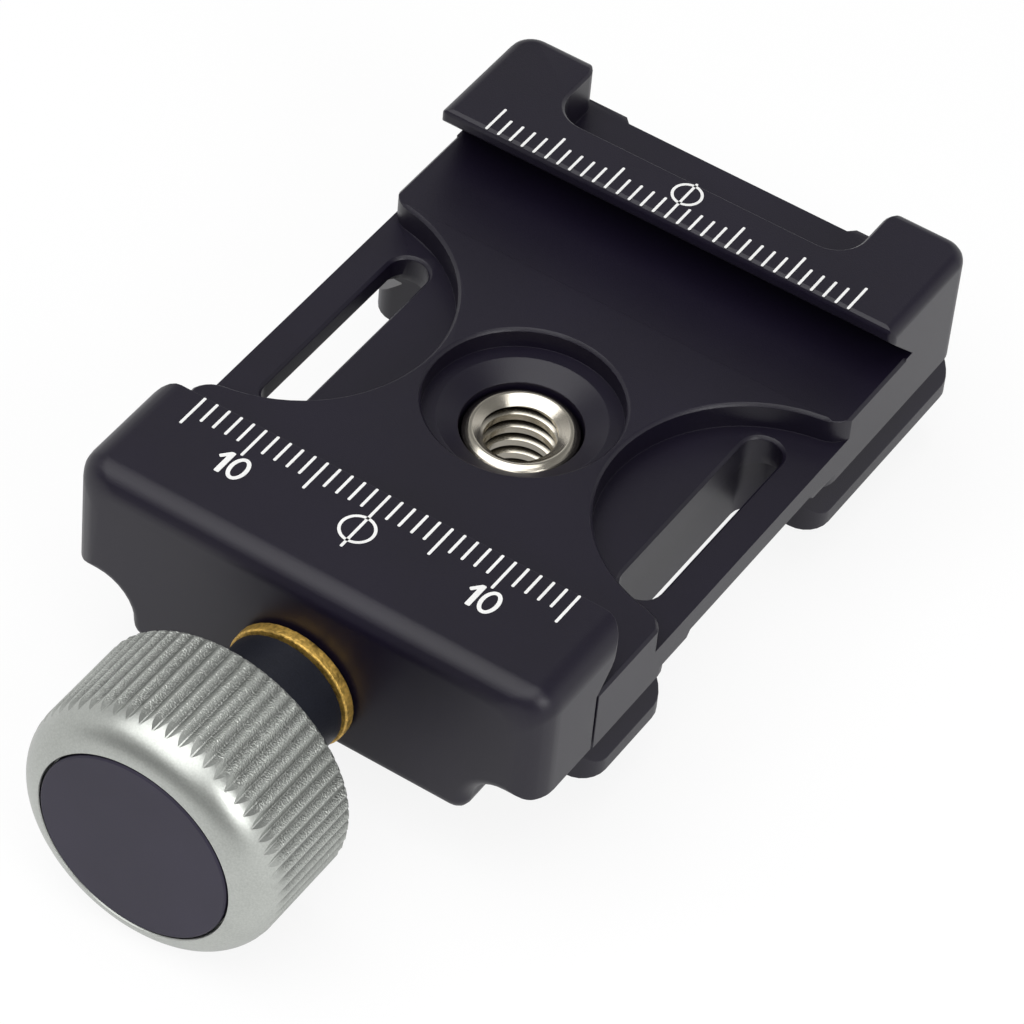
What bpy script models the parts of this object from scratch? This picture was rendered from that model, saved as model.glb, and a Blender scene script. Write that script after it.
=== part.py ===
"""Dovetail quick release clamp.

A machined base carries a fixed jaw with two rear ears, a hollowed platform with a threaded
bush, and a dovetail foot. A second jaw slides on two guide pins and is drawn in by a
clamp screw with a fluted knob.

Design frame: X runs along the jaws, Y from the knob towards the fixed jaw, Z up.
Y = 0 is the lip of the closed sliding jaw and Z = 0 is the top of both jaws.
"""
import math

import bmesh
import bpy
from mathutils import Vector

MM = 0.001

# Jaws and channel
WIDTH = 37.7 * MM
HEIGHT = 15.0 * MM
LIP_GAP = 33.9 * MM
LIP_THICKNESS = 1.1 * MM
CHANNEL_DEPTH = 4.43 * MM
UNDERCUT_STEP = 0.16 * MM
UNDERCUT_SETBACK = 5.7 * MM
FIXED_JAW_DEPTH = 11.0 * MM
SLIDING_JAW_DEPTH = 10.2 * MM
RUNNING_GAP = 0.3 * MM
SEAT_GAP = 0.25 * MM

# Fixed jaw, ears and rear notch
TOP_EDGE_RADIUS = 0.9 * MM
LIP_CORNER_RADIUS = 0.6 * MM
REAR_CORNER_RADIUS = 1.9 * MM
EAR_WIDTH = 6.55 * MM
EAR_CORNER_RADIUS = 1.5 * MM
NOTCH_DEPTH = 6.5 * MM
NOTCH_FILLET = 2.4 * MM
NOTCH_FLOOR_DEPTH = 3.7 * MM
REAR_RELIEF_INSET = 3.1 * MM
REAR_RELIEF_DEPTH = 0.5 * MM

# Platform, side recesses, slots and arms
EDGE_BREAK = 0.22 * MM
CENTRE_Y = 16.7 * MM
RECESS_RADIUS = 11.35 * MM
RECESS_OVERHANG = 0.25 * MM
RECESS_DEPTH = 2.12 * MM
RECESS_CORNER_RADIUS = 2.0 * MM
RECESS_CORNER_INSET = 1.9 * MM
SLOT_INSET = 4.15 * MM
SLOT_WIDTH = 3.1 * MM
SLOT_LENGTH = 18.3 * MM
SLOT_LOWER_CHAMFER = 0.7 * MM
ARM_THICKNESS = 2.35 * MM
ARM_CHAMFER = 0.5 * MM
ARM_CHAMFER_LENGTH = 15.6 * MM

# Dovetail foot
UNDERSIDE_DEPTH = 9.7 * MM
FOOT_LAND = 1.25 * MM
FOOT_CHAMFER = 1.2 * MM
FOOT_FLANK = 2.7 * MM
FOOT_CORNER_RADIUS = 2.0 * MM
FOOT_FRONT_SETBACK = 0.2 * MM
FOOT_REAR_OVERHANG = 0.6 * MM
FRONT_FOOT_LENGTH = 9.8 * MM
REAR_FOOT_LENGTH = 19.5 * MM
CORE_INSET = 5.85 * MM
POCKET_FILLET = 1.5 * MM

# Counterbore and threaded bush
COUNTERBORE_RADIUS = 7.1 * MM
COUNTERBORE_DEPTH = 1.65 * MM
CONE_RADIUS = 6.0 * MM
CONE_DEPTH = 0.87 * MM
BUSH_RADIUS = 4.15 * MM
BUSH_BORE_RADIUS = 2.7 * MM
BUSH_CHAMFER_WIDTH = 0.75 * MM
BUSH_CHAMFER_DEPTH = 0.4 * MM
BUSH_EDGE_BREAK = 0.12 * MM
BUSH_TOP_DEPTH = 7.0 * MM
BUSH_LENGTH = 8.0 * MM

# Sliding jaw
JAW_EDGE_RADIUS = 1.9 * MM
JAW_FRONT_CORNER_RADIUS = 2.4 * MM
JAW_LIP_CORNER_RADIUS = 1.8 * MM
JAW_END_HEIGHT = 9.5 * MM
JAW_MIDDLE_HEIGHT = 13.6 * MM
JAW_MIDDLE_INSET = 5.2 * MM
JAW_ARC_RADIUS = 2.85 * MM
JAW_MIDDLE_CORNER_RADIUS = 1.2 * MM
JAW_LOWER_RADIUS = 0.9 * MM

# Clamp screw, guide pins and springs
SCREW_DEPTH = 9.08 * MM
SCREW_RADIUS = 2.5 * MM
SCREW_HOLE_WALL = 0.8 * MM
SCREW_END_GAP = 0.7 * MM
SCREW_TIP_CHAMFER = 0.5 * MM
RING_GROOVE_RADIUS = 1.9 * MM
RING_RADIUS = 3.6 * MM
RING_THICKNESS = 0.6 * MM
RING_OPENING = 70.0
BACKING_WASHER_THICKNESS = 0.5 * MM
JAW_COUNTERBORE_RADIUS = 3.95 * MM
JAW_COUNTERBORE_DEPTH = 2.6 * MM
PIN_INSET = 9.35 * MM
PIN_RADIUS = 1.5 * MM
PIN_SEAT = 5.0 * MM
PIN_REACH = 12.5 * MM
PIN_END_GAP = 1.4 * MM
SPRING_WIRE_RADIUS = 0.24 * MM
SPRING_RADIUS = 2.07 * MM
SPRING_POCKET_DEPTH = 6.2 * MM
SPRING_TURNS = 5

# Knob, collar and washer
KNOB_RADIUS = 9.95 * MM
KNOB_LENGTH = 10.5 * MM
KNOB_STAND_OFF = 8.0 * MM
KNOB_SHOULDER = 3.0 * MM
KNOB_REAR_CHAMFER = 0.25 * MM
FLUTES = 60
FLUTE_DEPTH = 0.3 * MM
SHOULDER_STEPS = 5
KNOB_RIM = 2.58 * MM
CAP_GAP = 0.13 * MM
CAP_THICKNESS = 0.95 * MM
KNOB_WEB_FRONT = 3.9 * MM
KNOB_WEB = 1.6 * MM
KNOB_SCREW_RADIUS = 1.5 * MM
KNOB_SCREW_LENGTH = 7.5 * MM
KNOB_SCREW_HEAD_RADIUS = 2.7 * MM
KNOB_SCREW_HEAD = 1.5 * MM
KNOB_SCREW_HEX = 2.0 * MM
KNOB_WASHER_RADIUS = 3.2 * MM
KNOB_WASHER_THICKNESS = 0.4 * MM
WASHER_RADIUS = 4.82 * MM
WASHER_THICKNESS = 0.9 * MM
COLLAR_RADIUS = 4.6 * MM
COLLAR_CHAMFER = 0.3 * MM

# Derived places
HALF_WIDTH = WIDTH / 2
UNDERCUT_RUN = CHANNEL_DEPTH - LIP_THICKNESS
PLATFORM_Z = -CHANNEL_DEPTH
JAW_REAR_Y = -UNDERCUT_RUN
JAW_FRONT_Y = -SLIDING_JAW_DEPTH
BASE_FRONT_Y = JAW_REAR_Y + RUNNING_GAP
BASE_REAR_Y = LIP_GAP + FIXED_JAW_DEPTH
RECESS_FLOOR_Z = PLATFORM_Z - RECESS_DEPTH
ARM_BOTTOM_Z = RECESS_FLOOR_Z - ARM_THICKNESS
UNDERSIDE_Z = -UNDERSIDE_DEPTH
BOTTOM_Z = -HEIGHT
RECESS_OFFSET = HALF_WIDTH + RECESS_OVERHANG
SLOT_OFFSET = HALF_WIDTH - SLOT_INSET
CORE_HALF = HALF_WIDTH - CORE_INSET
NOTCH_HALF = HALF_WIDTH - EAR_WIDTH
JAW_MIDDLE_HALF = HALF_WIDTH - JAW_MIDDLE_INSET
PIN_OFFSET = HALF_WIDTH - PIN_INSET
CAP_RADIUS = KNOB_RADIUS - KNOB_RIM
FOOT_FRONT_Y = BASE_FRONT_Y + FOOT_FRONT_SETBACK
FOOT_REAR_Y = BASE_REAR_Y + FOOT_REAR_OVERHANG
SCREW_Z = -SCREW_DEPTH
SCREW_BORE_RADIUS = SCREW_RADIUS + RUNNING_GAP
PIN_BORE_RADIUS = PIN_RADIUS + RUNNING_GAP
SPRING_POCKET_RADIUS = SPRING_RADIUS + SPRING_WIRE_RADIUS + RUNNING_GAP
BUSH_SEAT_RADIUS = BUSH_RADIUS + SEAT_GAP
BUSH_TOP_Z = -BUSH_TOP_DEPTH
KNOB_REAR_Y = JAW_FRONT_Y - KNOB_STAND_OFF
KNOB_FRONT_Y = KNOB_REAR_Y - KNOB_LENGTH
WEB_FRONT_Y = KNOB_FRONT_Y + KNOB_WEB_FRONT
WEB_REAR_Y = WEB_FRONT_Y + KNOB_WEB
CAP_SEAT_Y = KNOB_FRONT_Y + CAP_THICKNESS + SEAT_GAP
SCREW_HOLE_END_Y = CENTRE_Y - BUSH_SEAT_RADIUS - SCREW_HOLE_WALL
SCREW_HOLE_CONE_Y = SCREW_HOLE_END_Y - SCREW_BORE_RADIUS
SCREW_END_Y = SCREW_HOLE_CONE_Y - SCREW_END_GAP
PIN_END_Y = JAW_REAR_Y + PIN_REACH
SPRING_POCKET_Y = BASE_FRONT_Y + SPRING_POCKET_DEPTH
COUNTERBORE_FLOOR_Y = JAW_REAR_Y - JAW_COUNTERBORE_DEPTH
OVERSHOOT = 2.0 * MM

# The clamp stands on the lowest point of its knob, midway along its length
STAND_Z = SCREW_DEPTH + KNOB_RADIUS
MIDDLE_Y = (KNOB_FRONT_Y + FOOT_REAR_Y) / 2


def arc(centre, radius, start, end, steps):
    """Points on an arc, angles in degrees."""
    points = []
    for i in range(steps + 1):
        angle = math.radians(start + (end - start) * i / steps)
        points.append((centre[0] + radius * math.cos(angle),
                       centre[1] + radius * math.sin(angle)))
    return points


def circle(centre, radius, steps):
    return arc(centre, radius, 0, 360, steps)[:-1]


def mirrored(points):
    """The same outline on the other side of X = 0."""
    return [(-x, y) for x, y in reversed(points)]


def widened(outline, distance):
    """An outline, counter-clockwise, moved outwards by a distance."""
    result = []
    count = len(outline)
    for i in range(count):
        before = Vector(outline[i]) - Vector(outline[i - 1])
        after = Vector(outline[(i + 1) % count]) - Vector(outline[i])
        before.normalize()
        after.normalize()
        normal = Vector((before.y + after.y, -before.x - after.x))
        scale = 2 / max(normal.length_squared, 0.5)
        result.append(tuple(Vector(outline[i]) + normal * distance * scale))
    return result


def on_axis(axis, flat, height):
    """A flat point and its height along an axis, as a point in space."""
    if axis == 'X':
        return Vector((height, flat[0], flat[1]))
    if axis == 'Y':
        return Vector((flat[0], height, flat[1]))
    return Vector((flat[0], flat[1], height))


def loft(axis, sections, closed=False):
    """A solid through outlines of equal length, each at its own height along an axis."""
    bm = bmesh.new()
    rings = [[bm.verts.new(on_axis(axis, point, height)) for point in outline]
             for height, outline in sections]
    pairs = list(zip(rings, rings[1:]))
    if closed:
        pairs.append((rings[-1], rings[0]))
    for lower, upper in pairs:
        for i in range(len(lower)):
            j = (i + 1) % len(lower)
            bm.faces.new((lower[i], lower[j], upper[j], upper[i]))
    if not closed:
        bm.faces.new(list(reversed(rings[0])))
        bm.faces.new(rings[-1])
    bmesh.ops.recalc_face_normals(bm, faces=bm.faces)
    return bm


def prism(axis, outline, low, high):
    return loft(axis, [(low, outline), (high, outline)])


def pocket(outline, floor, top, edge_break):
    """A pocket's cutter: straight walls, then an edge break that flares past the surface."""
    outer = widened(outline, 2 * edge_break)
    return loft('Z', [(floor, outline), (top - edge_break, outline),
                      (top + edge_break, outer), (top + OVERSHOOT, outer)])


def turned(axis, centre, profile, steps, ring=False):
    """A turned solid from (radius, height) points; a ring's profile closes on itself."""
    bm = bmesh.new()
    verts = [bm.verts.new(on_axis(axis, (centre[0] + radius, centre[1]), height))
             for radius, height in profile]
    edges = [bm.edges.new(pair) for pair in zip(verts, verts[1:])]
    if ring:
        edges.append(bm.edges.new((verts[-1], verts[0])))
    bmesh.ops.spin(bm, geom=verts + edges, cent=on_axis(axis, centre, 0),
                   axis=on_axis(axis, (0, 0), 1), angle=math.tau, steps=steps,
                   use_merge=True)
    bmesh.ops.remove_doubles(bm, verts=bm.verts, dist=1e-6)
    bmesh.ops.recalc_face_normals(bm, faces=bm.faces)
    return bm


def material(name, colour, roughness, metallic):
    mat = bpy.data.materials.new(name)
    mat.use_nodes = True
    shader = mat.node_tree.nodes["Principled BSDF"]
    shader.inputs["Base Color"].default_value = (*colour, 1.0)
    shader.inputs["Roughness"].default_value = roughness
    shader.inputs["Metallic"].default_value = metallic
    return mat


def empty(name, place, parent=None, parent_place=(0, 0, 0)):
    """An empty on a joint's axis, for the pieces that move with it."""
    obj = bpy.data.objects.new(name, None)
    obj.empty_display_size = 5 * MM
    bpy.context.collection.objects.link(obj)
    obj.parent = parent
    obj.location = Vector(place) - Vector(parent_place)
    return obj, Vector(place)


def piece(name, bm, group, mat=None):
    """A named object from a mesh in the design frame, carried by a group's empty."""
    carrier, place = group
    bmesh.ops.translate(bm, verts=bm.verts, vec=-place)
    mesh = bpy.data.meshes.new(name)
    bm.to_mesh(mesh)
    bm.free()
    obj = bpy.data.objects.new(name, mesh)
    bpy.context.collection.objects.link(obj)
    obj.parent = carrier
    if mat:
        mesh.materials.append(mat)
        mesh.shade_smooth()
        mesh.set_sharp_from_angle(angle=math.radians(30))
    return obj


def carve(target, name, bm, group, operation='DIFFERENCE'):
    """Cuts a shape out of a piece, or with UNION adds it."""
    cutter = piece(name, bm, group)
    cutter.hide_render = True
    cutter.display_type = 'WIRE'
    modifier = target.modifiers.new(name, 'BOOLEAN')
    modifier.operation = operation
    modifier.solver = 'EXACT'
    modifier.object = cutter


def recess_outline():
    """Right side recess: a big circle that turns out round a corner at both its ends."""
    centre = (RECESS_OFFSET, CENTRE_Y)
    corner_x = HALF_WIDTH - RECESS_CORNER_INSET
    reach = RECESS_RADIUS + RECESS_CORNER_RADIUS
    corner = (corner_x, CENTRE_Y + math.sqrt(reach ** 2 - (RECESS_OFFSET - corner_x) ** 2))
    meeting = math.degrees(math.atan2(corner[1] - centre[1], corner[0] - centre[0]))
    outside = HALF_WIDTH + OVERSHOOT
    turn_end = math.degrees(math.asin(min(1, RECESS_CORNER_INSET / RECESS_CORNER_RADIUS)))
    rear = ([(outside, corner[1])]
            + arc(corner, RECESS_CORNER_RADIUS, -90 + turn_end, meeting - 180, 5))
    sweep = arc(centre, RECESS_RADIUS, meeting, 360 - meeting, 34)
    front = [(x, 2 * CENTRE_Y - y) for x, y in reversed(rear)]
    return rear + sweep[1:-1] + front


def slot_outline(extra=0.0):
    """Right slot's plan; the extra width goes outwards, away from the core."""
    radius = (SLOT_WIDTH + extra) / 2
    reach = SLOT_LENGTH / 2 - radius
    x = SLOT_OFFSET + extra / 2
    return (arc((x, CENTRE_Y + reach), radius, 0, 180, 12)
            + arc((x, CENTRE_Y - reach), radius, 180, 360, 12))


def notch_outline():
    """Rear notch between the ears, with filleted roots and rounded ear corners."""
    floor_y = BASE_REAR_Y - NOTCH_DEPTH
    root = (NOTCH_HALF - NOTCH_FILLET, floor_y + NOTCH_FILLET)
    tip = (NOTCH_HALF + EAR_CORNER_RADIUS, BASE_REAR_Y - EAR_CORNER_RADIUS)
    half = (arc(root, NOTCH_FILLET, -90, 0, 8)
            + arc(tip, EAR_CORNER_RADIUS, 180, 90, 6)
            + [(tip[0], BASE_REAR_Y + OVERSHOOT)])
    return half + mirrored(half)


def channel_outline():
    """Section of the channel in (Y, Z), with the fixed jaw's undercut and broken lip."""
    step_y = LIP_GAP - UNDERCUT_SETBACK
    floor_z = PLATFORM_Z - UNDERCUT_STEP
    root_y = LIP_GAP + UNDERCUT_RUN + UNDERCUT_STEP
    nose = 0.4 * LIP_THICKNESS
    return [(BASE_FRONT_Y - OVERSHOOT, PLATFORM_Z), (step_y, PLATFORM_Z), (step_y, floor_z),
            (root_y, floor_z), (LIP_GAP + 0.3 * nose, -LIP_THICKNESS - 0.3 * nose),
            (LIP_GAP, -LIP_THICKNESS + 0.2 * nose), (LIP_GAP, -nose),
            (LIP_GAP + 0.3 * nose, -0.3 * nose), (LIP_GAP + 1.3 * nose, 0.2 * nose),
            (LIP_GAP + 1.3 * nose, OVERSHOOT), (BASE_FRONT_Y - OVERSHOOT, OVERSHOOT)]


def flank_outline():
    """What is cut away beside the right flank of the dovetail foot, in (X, Z)."""
    outside = HALF_WIDTH + OVERSHOOT
    land_low = BOTTOM_Z + FOOT_CHAMFER
    land_high = land_low + FOOT_LAND
    waist = HALF_WIDTH - FOOT_FLANK
    clear = FOOT_LAND / 3
    return [(outside, UNDERSIDE_Z), (waist, UNDERSIDE_Z), (waist, land_high + FOOT_FLANK),
            (HALF_WIDTH + clear, land_high - clear), (HALF_WIDTH + clear, land_low + clear),
            (HALF_WIDTH - FOOT_CHAMFER - OVERSHOOT, BOTTOM_Z - OVERSHOOT),
            (outside, BOTTOM_Z - OVERSHOOT)]


def side_pocket_outline():
    """Plan of the gap between the front and rear foot on the right, clockwise."""
    outside = HALF_WIDTH + OVERSHOOT
    front = FOOT_FRONT_Y + FRONT_FOOT_LENGTH
    rear = FOOT_REAR_Y - REAR_FOOT_LENGTH
    corner = FOOT_CORNER_RADIUS
    return ([(outside, front - corner)]
            + arc((HALF_WIDTH - corner, front - corner), corner, 0, 90, 6)
            + arc((CORE_HALF + POCKET_FILLET, front + POCKET_FILLET), POCKET_FILLET, 270, 180, 5)
            + arc((CORE_HALF + POCKET_FILLET, rear - POCKET_FILLET), POCKET_FILLET, 180, 90, 5)
            + arc((HALF_WIDTH - corner, rear + corner), corner, 270, 360, 6)
            + [(outside, rear + corner)])


def foot_front_outline():
    """Plan of what is cut away in front of the right foot, beside the sliding jaw's middle."""
    inner = JAW_MIDDLE_HALF - RUNNING_GAP
    corner = FOOT_CORNER_RADIUS
    outside = HALF_WIDTH + OVERSHOOT
    front = BASE_FRONT_Y - OVERSHOOT
    return ([(inner, front), (outside, front), (outside, FOOT_FRONT_Y + corner)]
            + arc((HALF_WIDTH - corner, FOOT_FRONT_Y + corner), corner, 0, -90, 6)
            + [(inner, FOOT_FRONT_Y)])


def foot_rear_outline():
    """Plan of the foot's rear end, which stands out behind the fixed jaw."""
    corner = FOOT_CORNER_RADIUS
    side = ([(HALF_WIDTH, BASE_REAR_Y - REAR_CORNER_RADIUS)]
            + arc((HALF_WIDTH - corner, FOOT_REAR_Y - corner), corner, 0, 90, 7))
    return side + mirrored(side)


def lip_corner_outline():
    """Plan of what is cut away outside the right end of the fixed jaw's lip."""
    corner = LIP_CORNER_RADIUS
    outside = HALF_WIDTH + OVERSHOOT
    return ([(outside, LIP_GAP + corner)]
            + arc((HALF_WIDTH - corner, LIP_GAP + corner), corner, 0, -90, 4)
            + [(HALF_WIDTH - corner, LIP_GAP - OVERSHOOT), (outside, LIP_GAP - OVERSHOOT)])


def edge_triangle(x, z, size, up):
    """Section in (X, Z) of what an edge break takes off a right-hand edge, above or below."""
    past = EDGE_BREAK
    return [(x - size - past, z + up * past), (x + past, z - up * (size + past)),
            (x + past, z + up * past)]


def base_blank():
    """The base's block with rounded rear corners and rounded top edges."""
    rear = BASE_REAR_Y - REAR_CORNER_RADIUS
    side = HALF_WIDTH - REAR_CORNER_RADIUS
    outline = ([(-HALF_WIDTH, BASE_FRONT_Y), (HALF_WIDTH, BASE_FRONT_Y)]
               + arc((side, rear), REAR_CORNER_RADIUS, 0, 90, 8)
               + arc((-side, rear), REAR_CORNER_RADIUS, 90, 180, 8))
    bm = prism('Z', outline, BOTTOM_Z, 0)
    top = [edge for edge in bm.edges
           if all(v.co.z > -1e-6 for v in edge.verts)
           and not all(v.co.y < BASE_FRONT_Y + 1e-6 for v in edge.verts)]
    bmesh.ops.bevel(bm, geom=top, offset=TOP_EDGE_RADIUS, segments=4, profile=0.5,
                    affect='EDGES', material=-1, clamp_overlap=False)
    return bm


def foot_cutter(outline, top, turn):
    """A cutter from below the foot up to a height, which chamfers the foot's lower edges."""
    past = EDGE_BREAK
    return loft('Z', [(BOTTOM_Z - past, turn(widened(outline, FOOT_CHAMFER + past))),
                      (BOTTOM_Z + FOOT_CHAMFER, turn(outline)), (top, turn(outline))])


def make_body(group, mat):
    body = piece("body", base_blank(), group, mat)
    outside = HALF_WIDTH + OVERSHOOT
    foot_rear = prism('Z', foot_rear_outline(), BOTTOM_Z, UNDERSIDE_Z)
    carve(body, "foot_rear", foot_rear, group, 'UNION')
    carve(body, "channel_cut", prism('X', channel_outline(), -outside, outside), group)

    for side, turn in (("right", list), ("left", mirrored)):
        flank = prism('Y', turn(flank_outline()), BASE_FRONT_Y - OVERSHOOT,
                      FOOT_REAR_Y + OVERSHOOT)
        carve(body, f"flank_cut_{side}", flank, group)
        lip_corner = prism('Z', turn(lip_corner_outline()),
                           -LIP_THICKNESS - 2 * LIP_CORNER_RADIUS, OVERSHOOT)
        carve(body, f"lip_corner_cut_{side}", lip_corner, group)
        plan = list(reversed(side_pocket_outline()))
        carve(body, f"foot_gap_cut_{side}", foot_cutter(plan, ARM_BOTTOM_Z, turn), group)
        front = foot_cutter(foot_front_outline(), UNDERSIDE_Z, turn)
        carve(body, f"foot_front_cut_{side}", front, group)
        recess = pocket(turn(recess_outline()), RECESS_FLOOR_Z, PLATFORM_Z, EDGE_BREAK)
        carve(body, f"recess_cut_{side}", recess, group)
        slot = slot_outline()
        below = slot_outline(SLOT_LOWER_CHAMFER)
        flared = widened(slot, 2 * EDGE_BREAK)
        slot_cut = loft('Z', [(BOTTOM_Z - OVERSHOOT, turn(below)), (ARM_BOTTOM_Z, turn(below)),
                              (ARM_BOTTOM_Z + SLOT_LOWER_CHAMFER, turn(slot)),
                              (RECESS_FLOOR_Z - EDGE_BREAK, turn(slot)),
                              (RECESS_FLOOR_Z + EDGE_BREAK, turn(flared))])
        carve(body, f"slot_cut_{side}", slot_cut, group)

        upper = turn(edge_triangle(HALF_WIDTH, PLATFORM_Z, EDGE_BREAK, 1))
        lower = turn(edge_triangle(HALF_WIDTH, PLATFORM_Z - UNDERCUT_STEP, EDGE_BREAK, 1))
        step_y = LIP_GAP - UNDERCUT_SETBACK
        side_edge = loft('Y', [(BASE_FRONT_Y - OVERSHOOT, upper), (step_y, upper),
                               (step_y, lower), (LIP_GAP + UNDERCUT_RUN - 3 * EDGE_BREAK, lower)])
        carve(body, f"side_edge_cut_{side}", side_edge, group)
        half = ARM_CHAMFER_LENGTH / 2
        start, full = (turn(edge_triangle(HALF_WIDTH, ARM_BOTTOM_Z, size, -1))
                       for size in (-EDGE_BREAK / 2, ARM_CHAMFER))
        arm_edge = loft('Y', [(CENTRE_Y - half - ARM_CHAMFER, start), (CENTRE_Y - half, full),
                              (CENTRE_Y + half, full), (CENTRE_Y + half + ARM_CHAMFER, start)])
        carve(body, f"arm_edge_cut_{side}", arm_edge, group)

    past = EDGE_BREAK
    rear_edge = [(FOOT_REAR_Y - FOOT_CHAMFER - past, BOTTOM_Z - past),
                 (FOOT_REAR_Y + past, BOTTOM_Z - past),
                 (FOOT_REAR_Y + past, BOTTOM_Z + FOOT_CHAMFER + past)]
    carve(body, "foot_rear_edge_cut", prism('X', rear_edge, -outside, outside), group)
    notch = pocket(notch_outline(), -NOTCH_FLOOR_DEPTH, 0, EDGE_BREAK)
    carve(body, "rear_notch_cut", notch, group)
    half = NOTCH_HALF - REAR_RELIEF_INSET
    relief_y = BASE_REAR_Y - REAR_RELIEF_DEPTH
    slant = REAR_RELIEF_DEPTH + OVERSHOOT
    relief = [(-half, relief_y), (half, relief_y),
              (half + slant, relief_y + slant), (-half - slant, relief_y + slant)]
    carve(body, "rear_relief_cut", prism('Z', relief, UNDERSIDE_Z, OVERSHOOT), group)

    floor_z = PLATFORM_Z - COUNTERBORE_DEPTH
    cone_z = floor_z - CONE_DEPTH
    bore_top = [(0, PLATFORM_Z + OVERSHOOT),
                (COUNTERBORE_RADIUS + 2 * EDGE_BREAK, PLATFORM_Z + OVERSHOOT),
                (COUNTERBORE_RADIUS + 2 * EDGE_BREAK, PLATFORM_Z + EDGE_BREAK),
                (COUNTERBORE_RADIUS, PLATFORM_Z - EDGE_BREAK),
                (COUNTERBORE_RADIUS, floor_z), (CONE_RADIUS, floor_z),
                (BUSH_SEAT_RADIUS, cone_z), (BUSH_SEAT_RADIUS, BOTTOM_Z + EDGE_BREAK),
                (BUSH_SEAT_RADIUS + 2 * EDGE_BREAK, BOTTOM_Z - EDGE_BREAK),
                (BUSH_SEAT_RADIUS + 2 * EDGE_BREAK, BOTTOM_Z - OVERSHOOT),
                (0, BOTTOM_Z - OVERSHOOT)]
    carve(body, "bush_bore_cut", turned('Z', (0, CENTRE_Y), bore_top, 48), group)

    start_y = BASE_FRONT_Y - OVERSHOOT
    screw_bore = [(0, start_y), (SCREW_BORE_RADIUS, start_y),
                  (SCREW_BORE_RADIUS, SCREW_HOLE_CONE_Y), (0, SCREW_HOLE_END_Y)]
    carve(body, "screw_bore_cut", turned('Y', (0, SCREW_Z), screw_bore, 24), group)
    hole_end = PIN_END_Y + PIN_END_GAP
    pin_bore = [(0, start_y), (SPRING_POCKET_RADIUS, start_y),
                (SPRING_POCKET_RADIUS, SPRING_POCKET_Y), (PIN_BORE_RADIUS, SPRING_POCKET_Y),
                (PIN_BORE_RADIUS, hole_end), (0, hole_end)]
    for side, x in (("right", PIN_OFFSET), ("left", -PIN_OFFSET)):
        carve(body, f"pin_bore_cut_{side}", turned('Y', (x, SCREW_Z), pin_bore, 20), group)
    return body


def jaw_section(low, side, top):
    """Sliding jaw's outline in (X, Z), drawn in by three insets: below, at the ends, on top."""
    middle = JAW_MIDDLE_HALF
    corner = max(JAW_MIDDLE_CORNER_RADIUS - low, 0.15 * MM)
    end = HALF_WIDTH - side
    half = (arc((middle - low - corner, -JAW_MIDDLE_HEIGHT + low + corner), corner, -90, 0, 4)
            + arc((middle + JAW_ARC_RADIUS, -JAW_END_HEIGHT - JAW_ARC_RADIUS),
                  JAW_ARC_RADIUS + low, 180, 90, 8)
            + [(end, -JAW_END_HEIGHT + low)]
            + arc((end - JAW_EDGE_RADIUS, -top - JAW_EDGE_RADIUS), JAW_EDGE_RADIUS, 0, 90, 6))
    return half + mirrored(half)


def jaw_blank():
    """The sliding jaw before its rear is cut, rounded towards its front in steps."""
    rounding = (JAW_LOWER_RADIUS, JAW_FRONT_CORNER_RADIUS, JAW_EDGE_RADIUS)
    depths = []
    for depth in sorted({radius * (1 - math.cos(math.radians(angle)))
                         for radius in rounding for angle in (0, 18, 36, 54, 72, 90)}):
        if not depths or depth - depths[-1] > 0.03 * MM:
            depths.append(depth)

    def inset(radius, depth):
        return radius - math.sqrt(radius ** 2 - max(radius - depth, 0) ** 2)

    sections = [(JAW_FRONT_Y + depth, jaw_section(*(inset(radius, depth) for radius in rounding)))
                for depth in depths]
    sections.append((JAW_EDGE_RADIUS + OVERSHOOT, jaw_section(0, 0, 0)))
    return loft('Y', sections)


def make_sliding_jaw(group, mat):
    jaw = piece("sliding_jaw", jaw_blank(), group, mat)
    outside = HALF_WIDTH + OVERSHOOT
    back = OVERSHOOT * 3
    undercut = [(0, OVERSHOOT), (0, -LIP_THICKNESS), (JAW_REAR_Y, PLATFORM_Z),
                (JAW_REAR_Y, -HEIGHT - OVERSHOOT), (back, -HEIGHT - OVERSHOOT),
                (back, OVERSHOOT)]
    carve(jaw, "jaw_undercut", prism('X', undercut, -outside, outside), group)
    radius = JAW_LIP_CORNER_RADIUS
    corner = ([(outside, -radius)] + arc((HALF_WIDTH - radius, -radius), radius, 0, 90, 7)
              + [(HALF_WIDTH - radius, OVERSHOOT), (outside, OVERSHOOT)])
    for side, turn in (("right", list), ("left", mirrored)):
        cut = prism('Z', turn(corner), -JAW_END_HEIGHT - OVERSHOOT, OVERSHOOT)
        carve(jaw, f"jaw_corner_cut_{side}", cut, group)

    start = JAW_FRONT_Y - OVERSHOOT
    end = JAW_REAR_Y + OVERSHOOT
    hole = [(0, start), (SCREW_BORE_RADIUS, start), (SCREW_BORE_RADIUS, COUNTERBORE_FLOOR_Y),
            (JAW_COUNTERBORE_RADIUS, COUNTERBORE_FLOOR_Y), (JAW_COUNTERBORE_RADIUS, end),
            (0, end)]
    carve(jaw, "jaw_screw_hole", turned('Y', (0, SCREW_Z), hole, 24), group)
    seat = [(0, JAW_REAR_Y - PIN_SEAT - SEAT_GAP),
            (PIN_RADIUS + SEAT_GAP, JAW_REAR_Y - PIN_SEAT - SEAT_GAP),
            (PIN_RADIUS + SEAT_GAP, end), (0, end)]
    for side, x in (("right", PIN_OFFSET), ("left", -PIN_OFFSET)):
        carve(jaw, f"jaw_pin_seat_{side}", turned('Y', (x, SCREW_Z), seat, 20), group)
    return jaw


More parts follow.
